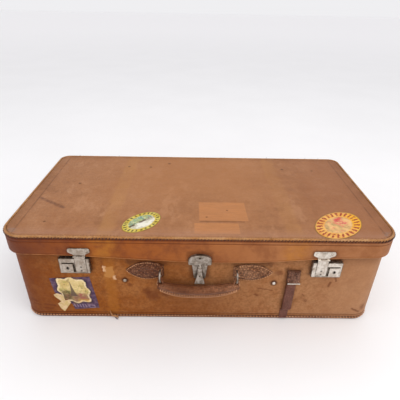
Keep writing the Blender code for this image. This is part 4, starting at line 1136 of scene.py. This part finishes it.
def paper_sheet(name, outline, surface, material, body, slot, *nodes):
    """A thin sheet that lies on a surface; surface(a, b, lift) places its points."""
    count, rings, thick = len(outline), 10, 0.2 * MM
    centre = (sum(p[0] for p in outline) / count, sum(p[1] for p in outline) / count)
    verts, faces = [], []
    for face in (1, 0):
        for k in range(1, rings + 1):
            share = (k / rings) ** 0.8
            for a, b in outline:
                pa, pb = centre[0] + share * (a - centre[0]), centre[1] + share * (b - centre[1])
                curl = swell(share, 0.80, 1.0) * max(0.0, wave((pa, pb, 0), 0.018, 8.0)) * 0.9 * MM
                verts.append(surface(pa, pb, 0.15 * MM + curl + thick * face))
    for face in (1, 0):
        base = (1 - face) * rings * count
        for k in range(rings - 1):
            for i in range(count):
                j = (i + 1) % count
                a, b = base + k * count, base + (k + 1) * count
                faces.append((a + i, b + i, b + j, a + j))
        faces.append(tuple(base + i for i in range(count)))
    rim, under = (rings - 1) * count, (2 * rings - 1) * count
    for i in range(count):
        j = (i + 1) % count
        faces.append((rim + i, rim + j, under + j, under + i))
    sheet = mesh_object(name, verts, faces, material)
    add_piece(sheet, body, slot, *nodes)


def lid_point(x, y, lift):
    return Vector((x, y, lid_top_height(x, y) + lift))


def front_point(x, z, lift):
    return Vector((x, front_y(x, z) - lift, z))


def torn_line(points, step, rough, seed):
    """Points along a torn edge between the given corners."""
    line = []
    for a, b in zip(points, points[1:]):
        parts = max(1, round(math.dist(a, b) / step))
        for i in range(parts):
            t = i / parts
            x, z = a[0] + (b[0] - a[0]) * t, a[1] + (b[1] - a[1]) * t
            line.append((x + rough * wave((x, z, 0), 0.004, seed), z + rough * wave((z, x, 0), 0.004, seed)))
    return line


OVAL = ((-0.1073, -0.1275), (0.0408, 0.0265), math.radians(49.0))
LARGE_OVAL = ((0.2530, -0.1295), (0.0550, 0.0355), math.radians(42.7))


def make_labels():
    for node, slot, (centre, half, turn), large in (("label_oval", "paper_oval", OVAL, False),
                                                    ("label_round", "paper_round", LARGE_OVAL, True)):
        outline = []
        for i in range(72):
            angle = 2 * math.pi * i / 72
            a, b = half[0] * math.cos(angle), half[1] * math.sin(angle)
            nick = 1.0 + 0.008 * wave((a, b, 0), 0.008, 3.0)
            outline.append((centre[0] + nick * (a * math.cos(turn) - b * math.sin(turn)),
                            centre[1] + nick * (a * math.sin(turn) + b * math.cos(turn))))
        material = oval_paper(node + "_print", centre, half, turn, large)
        paper_sheet(node + "_paper", outline, lid_point, material, "lid", slot, node)
    corners = [(-0.279, 0.1001), (-0.204, 0.1048), (-0.194, 0.0258), (-0.242, 0.0212)]
    clean = torn_line(corners, 3 * MM, 0.25 * MM, 1.0)
    torn = torn_line([corners[-1], (-0.246, 0.034), (-0.2535, 0.0455), (-0.262, 0.054), (-0.2685, 0.0605),
                      (-0.2745, 0.0640), corners[0]], 1.6 * MM, 1.1 * MM, 2.0)
    paper_sheet("square_label_paper", clean + torn, front_point, square_paper(), "case", "paper_square",
                "label_square")
    bare = bare_paper()
    folded = torn_line([(-0.2733, 0.0360), (-0.2655, 0.0425), (-0.2493, 0.0475), (-0.2476, 0.0394),
                        (-0.2560, 0.0270), (-0.2635, 0.0155), (-0.2690, 0.0240), (-0.2733, 0.0360)],
                       1.6 * MM, 0.5 * MM, 3.0)
    paper_sheet("folded_corner", folded, lambda x, z, lift: front_point(
        x, z, lift + 0.5 * MM + 1.6 * MM * swell(-x - z * 0.4, 0.262, 0.282)), bare, "case", "paper_square")
    strip = torn_line([(-0.2780, 0.0595), (-0.2700, 0.0630), (-0.2619, 0.0600), (-0.2590, 0.0520),
                       (-0.2570, 0.0430), (-0.2656, 0.0424), (-0.2734, 0.0520), (-0.2780, 0.0595)],
                      1.4 * MM, 0.6 * MM, 5.0)
    paper_sheet("torn_strip", strip, lambda x, z, lift: front_point(x, z, lift + 0.45 * MM), bare, "case",
                "paper_square")


def make_torn_leather(leather, dark):
    """A curl of torn leather and thread left at the foot of the missing strap."""
    path = [Vector((-0.1745, -0.1708, 0.0190)), Vector((-0.1725, -0.1725, 0.0125)),
            Vector((-0.1690, -0.1745, 0.0085)), Vector((-0.1640, -0.1755, 0.0090)),
            Vector((-0.1600, -0.1750, 0.0065)), Vector((-0.1580, -0.1740, 0.0030))]
    widths = (1.2, 2.0, 2.6, 2.4, 1.8, 0.6)
    verts, faces = [], []
    for point, wide in zip(path, widths):
        for dx, dy in ((-1, 0.35), (0, 0.5), (1, 0.35), (1, -0.35), (0, -0.5), (-1, -0.35)):
            verts.append(point + Vector((0.35 * dx * wide * MM, -dy * 1.1 * MM, 0.8 * dx * wide * MM)))
    join_rows(faces, len(path), 6)
    curl = mesh_object("torn_leather_curl", verts, faces, leather)
    add_piece(curl, "case", "leather_case")
    verts, faces = [], []
    tube(verts, faces, [Vector((-0.1650, -0.1740, 0.0040)), Vector((-0.1620, -0.1752, 0.0016)),
                        Vector((-0.1590, -0.1762, 0.0012))], [0.8 * MM, 1.0 * MM, 0.5 * MM], 6)
    knot = mesh_object("torn_thread_end", verts, faces, dark)
    add_piece(knot, "case", "leather_edge")


# ---- Stage, light and camera --------------------------------------------------------------------
def make_stage():
    """A wide pale floor, painted paler away from the case, standing in for the light that falls off there.
    """
    g = Graph("pale_floor")
    far = g.reach(g.x, g.y)
    g.colour = g.mix(g.ramp(g.noise(3, 3), 0.3, 0.7), (0.875, 0.87, 0.874), (0.895, 0.89, 0.894))
    g.lay((0.975, 0.965, 0.972), g.ramp(far, 1.0, 7.0))
    reach = 14.0
    corners = [(-reach, -reach, 0), (reach, -reach, 0), (reach, reach, 0), (-reach, reach, 0)]
    floor = mesh_object("pale_floor", corners, [(0, 1, 2, 3)], g.finish(0.7))


def make_light(name, size, energy, at, towards, colour=(1, 1, 1)):
    data = bpy.data.lights.new(name, "AREA")
    data.shape = "RECTANGLE"
    data.size, data.size_y = size
    data.energy = energy
    data.color = colour
    obj = bpy.data.objects.new(name, data)
    obj.location = at
    obj.rotation_euler = (Vector(towards) - Vector(at)).to_track_quat("-Z", "Y").to_euler()
    bpy.context.scene.collection.objects.link(obj)


CAMERA_AT = (-0.0087, -0.6791, 0.5592)
CAMERA_TURN = (-0.755, 29.54, 1.12)     # degrees: to the left, down and leaning
LENS_MM = 32.36


def make_camera():
    yaw, pitch, roll = (math.radians(angle) for angle in CAMERA_TURN)
    forward = Vector((-math.sin(yaw) * math.cos(pitch), math.cos(yaw) * math.cos(pitch),
                      -math.sin(pitch)))
    right = Vector((math.cos(yaw), math.sin(yaw), 0))
    up = right.cross(forward)
    tilted_right = right * math.cos(roll) + up * math.sin(roll)
    tilted_up = up * math.cos(roll) - right * math.sin(roll)
    matrix = Matrix((tilted_right, tilted_up, -forward)).transposed().to_4x4()
    matrix.translation = CAMERA_AT
    data = bpy.data.cameras.new("camera")
    data.sensor_width = 36
    data.lens = LENS_MM
    camera = bpy.data.objects.new("camera", data)
    camera.matrix_world = matrix
    bpy.context.scene.collection.objects.link(camera)
    bpy.context.scene.camera = camera


def make_world():
    world = bpy.data.worlds.new("studio")
    world.use_nodes = True
    background = world.node_tree.nodes["Background"]
    background.inputs["Color"].default_value = (0.985, 0.98, 1.0, 1.0)
    background.inputs["Strength"].default_value = 0.88
    bpy.context.scene.world = world
    bpy.context.scene.view_settings.view_transform = "Standard"


# ---- Putting it together ------------------------------------------------------------------------
make_world()
make_camera()
make_stage()
make_light("key", (1.6, 1.2), 16, (0.9, -1.1, 1.9), (0, 0, 0.1), (1.0, 0.98, 0.95))
make_light("fill", (1.8, 1.4), 4, (-1.6, -0.9, 1.1), (0, 0, 0.1), (0.95, 0.97, 1.0))
make_light("back", (2.4, 0.8), 3, (0.0, 1.0, 1.9), (0, 0, 0.1))
make_light("front", (2.4, 0.8), 4, (0.0, -1.7, 0.9), (0, -0.3, 0.0))

lid_skin = lid_leather()
body_skin = body_leather()
binding_skin = dark_leather("binding_leather", 1.0, (146, 94, 52), (188, 132, 82), (210, 160, 112),
                            900, 0.2 * MM, groove=(74, 38, 18))
handle_skin = dark_leather("handle_leather", SMALL, (84, 44, 26), (122, 74, 50), (162, 112, 84),
                           left=(104, 54, 30))
chape_skin = dark_leather("chape_leather", SMALL, (66, 34, 18), (112, 66, 42), (176, 128, 96),
                          1 / CHAPE_KNOB, 0.8 * MM, (84, 42, 20), knobs=0.5)
strap_skin = dark_leather("strap_leather", SMALL, (62, 27, 22), (84, 42, 34), (122, 78, 68),
                          1100, 0.12 * MM, gloss=0.20)
tab_skin = dark_leather("tab_leather", SMALL, (56, 28, 20), (98, 60, 48), (150, 108, 90),
                        330, 0.8 * MM, knobs=0.55)
tan_thread = thread_material("tan_thread", seen(196, 146, 92), seen(120, 74, 40))
pale_thread = thread_material("pale_thread", seen(232, 184, 142), seen(176, 122, 84))
# The lacing thread is coloured dark brown as painted shade, for the dark gaps between the binding's
# scallops; the torn thread end takes the same thread.
lace_thread = thread_material("lace_thread", seen(104, 60, 34), seen(58, 30, 14))
brown_thread = thread_material("brown_thread", seen(226, 172, 126), seen(164, 110, 76))
dark_thread = thread_material("dark_thread", (0.045, 0.032, 0.025), (0.020, 0.015, 0.012))
metal = nickel()
# a darker copy of the nickel for the fittings on the left: painted shade of the dimmer left side
shaded_left_metal = nickel("dull_nickel", (0.50, 0.43, 0.36), (0.32, 0.255, 0.20), 0.30)
dark_metal = nickel("dark_nickel", (0.40, 0.345, 0.295), (0.19, 0.15, 0.115), 0.26)
steel = nickel("dull_steel", (0.48, 0.46, 0.43), (0.25, 0.22, 0.18), 0.38)
lining = lining_cloth()

make_lid(lid_skin)
make_body(body_skin)
make_lid_binding(binding_skin)
make_edge_stitches(pale_thread, tan_thread, lace_thread)
make_frayed_threads(dark_thread)
for end, tag in ((-1, "left"), (1, "right")):
    make_chape(end, tag, chape_skin, brown_thread)
make_grip(handle_skin, brown_thread)
make_strap(strap_skin, tab_skin, brown_thread)
make_labels()
make_torn_leather(binding_skin, lace_thread)

for name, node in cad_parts.items():
    if "lining" in name:
        skin = lining
    elif name.startswith("hinge"):
        skin = steel
    elif name.startswith(("centre", "handle_ring")):
        skin = dark_metal
    elif name.startswith(("lock", "hasp", "stud", "strap_bar")):
        # the left fittings take the darker copy of the nickel, painted shade
        skin = shaded_left_metal if "left" in name else metal
    else:
        continue
    node.data.materials.clear()
    node.data.materials.append(skin)
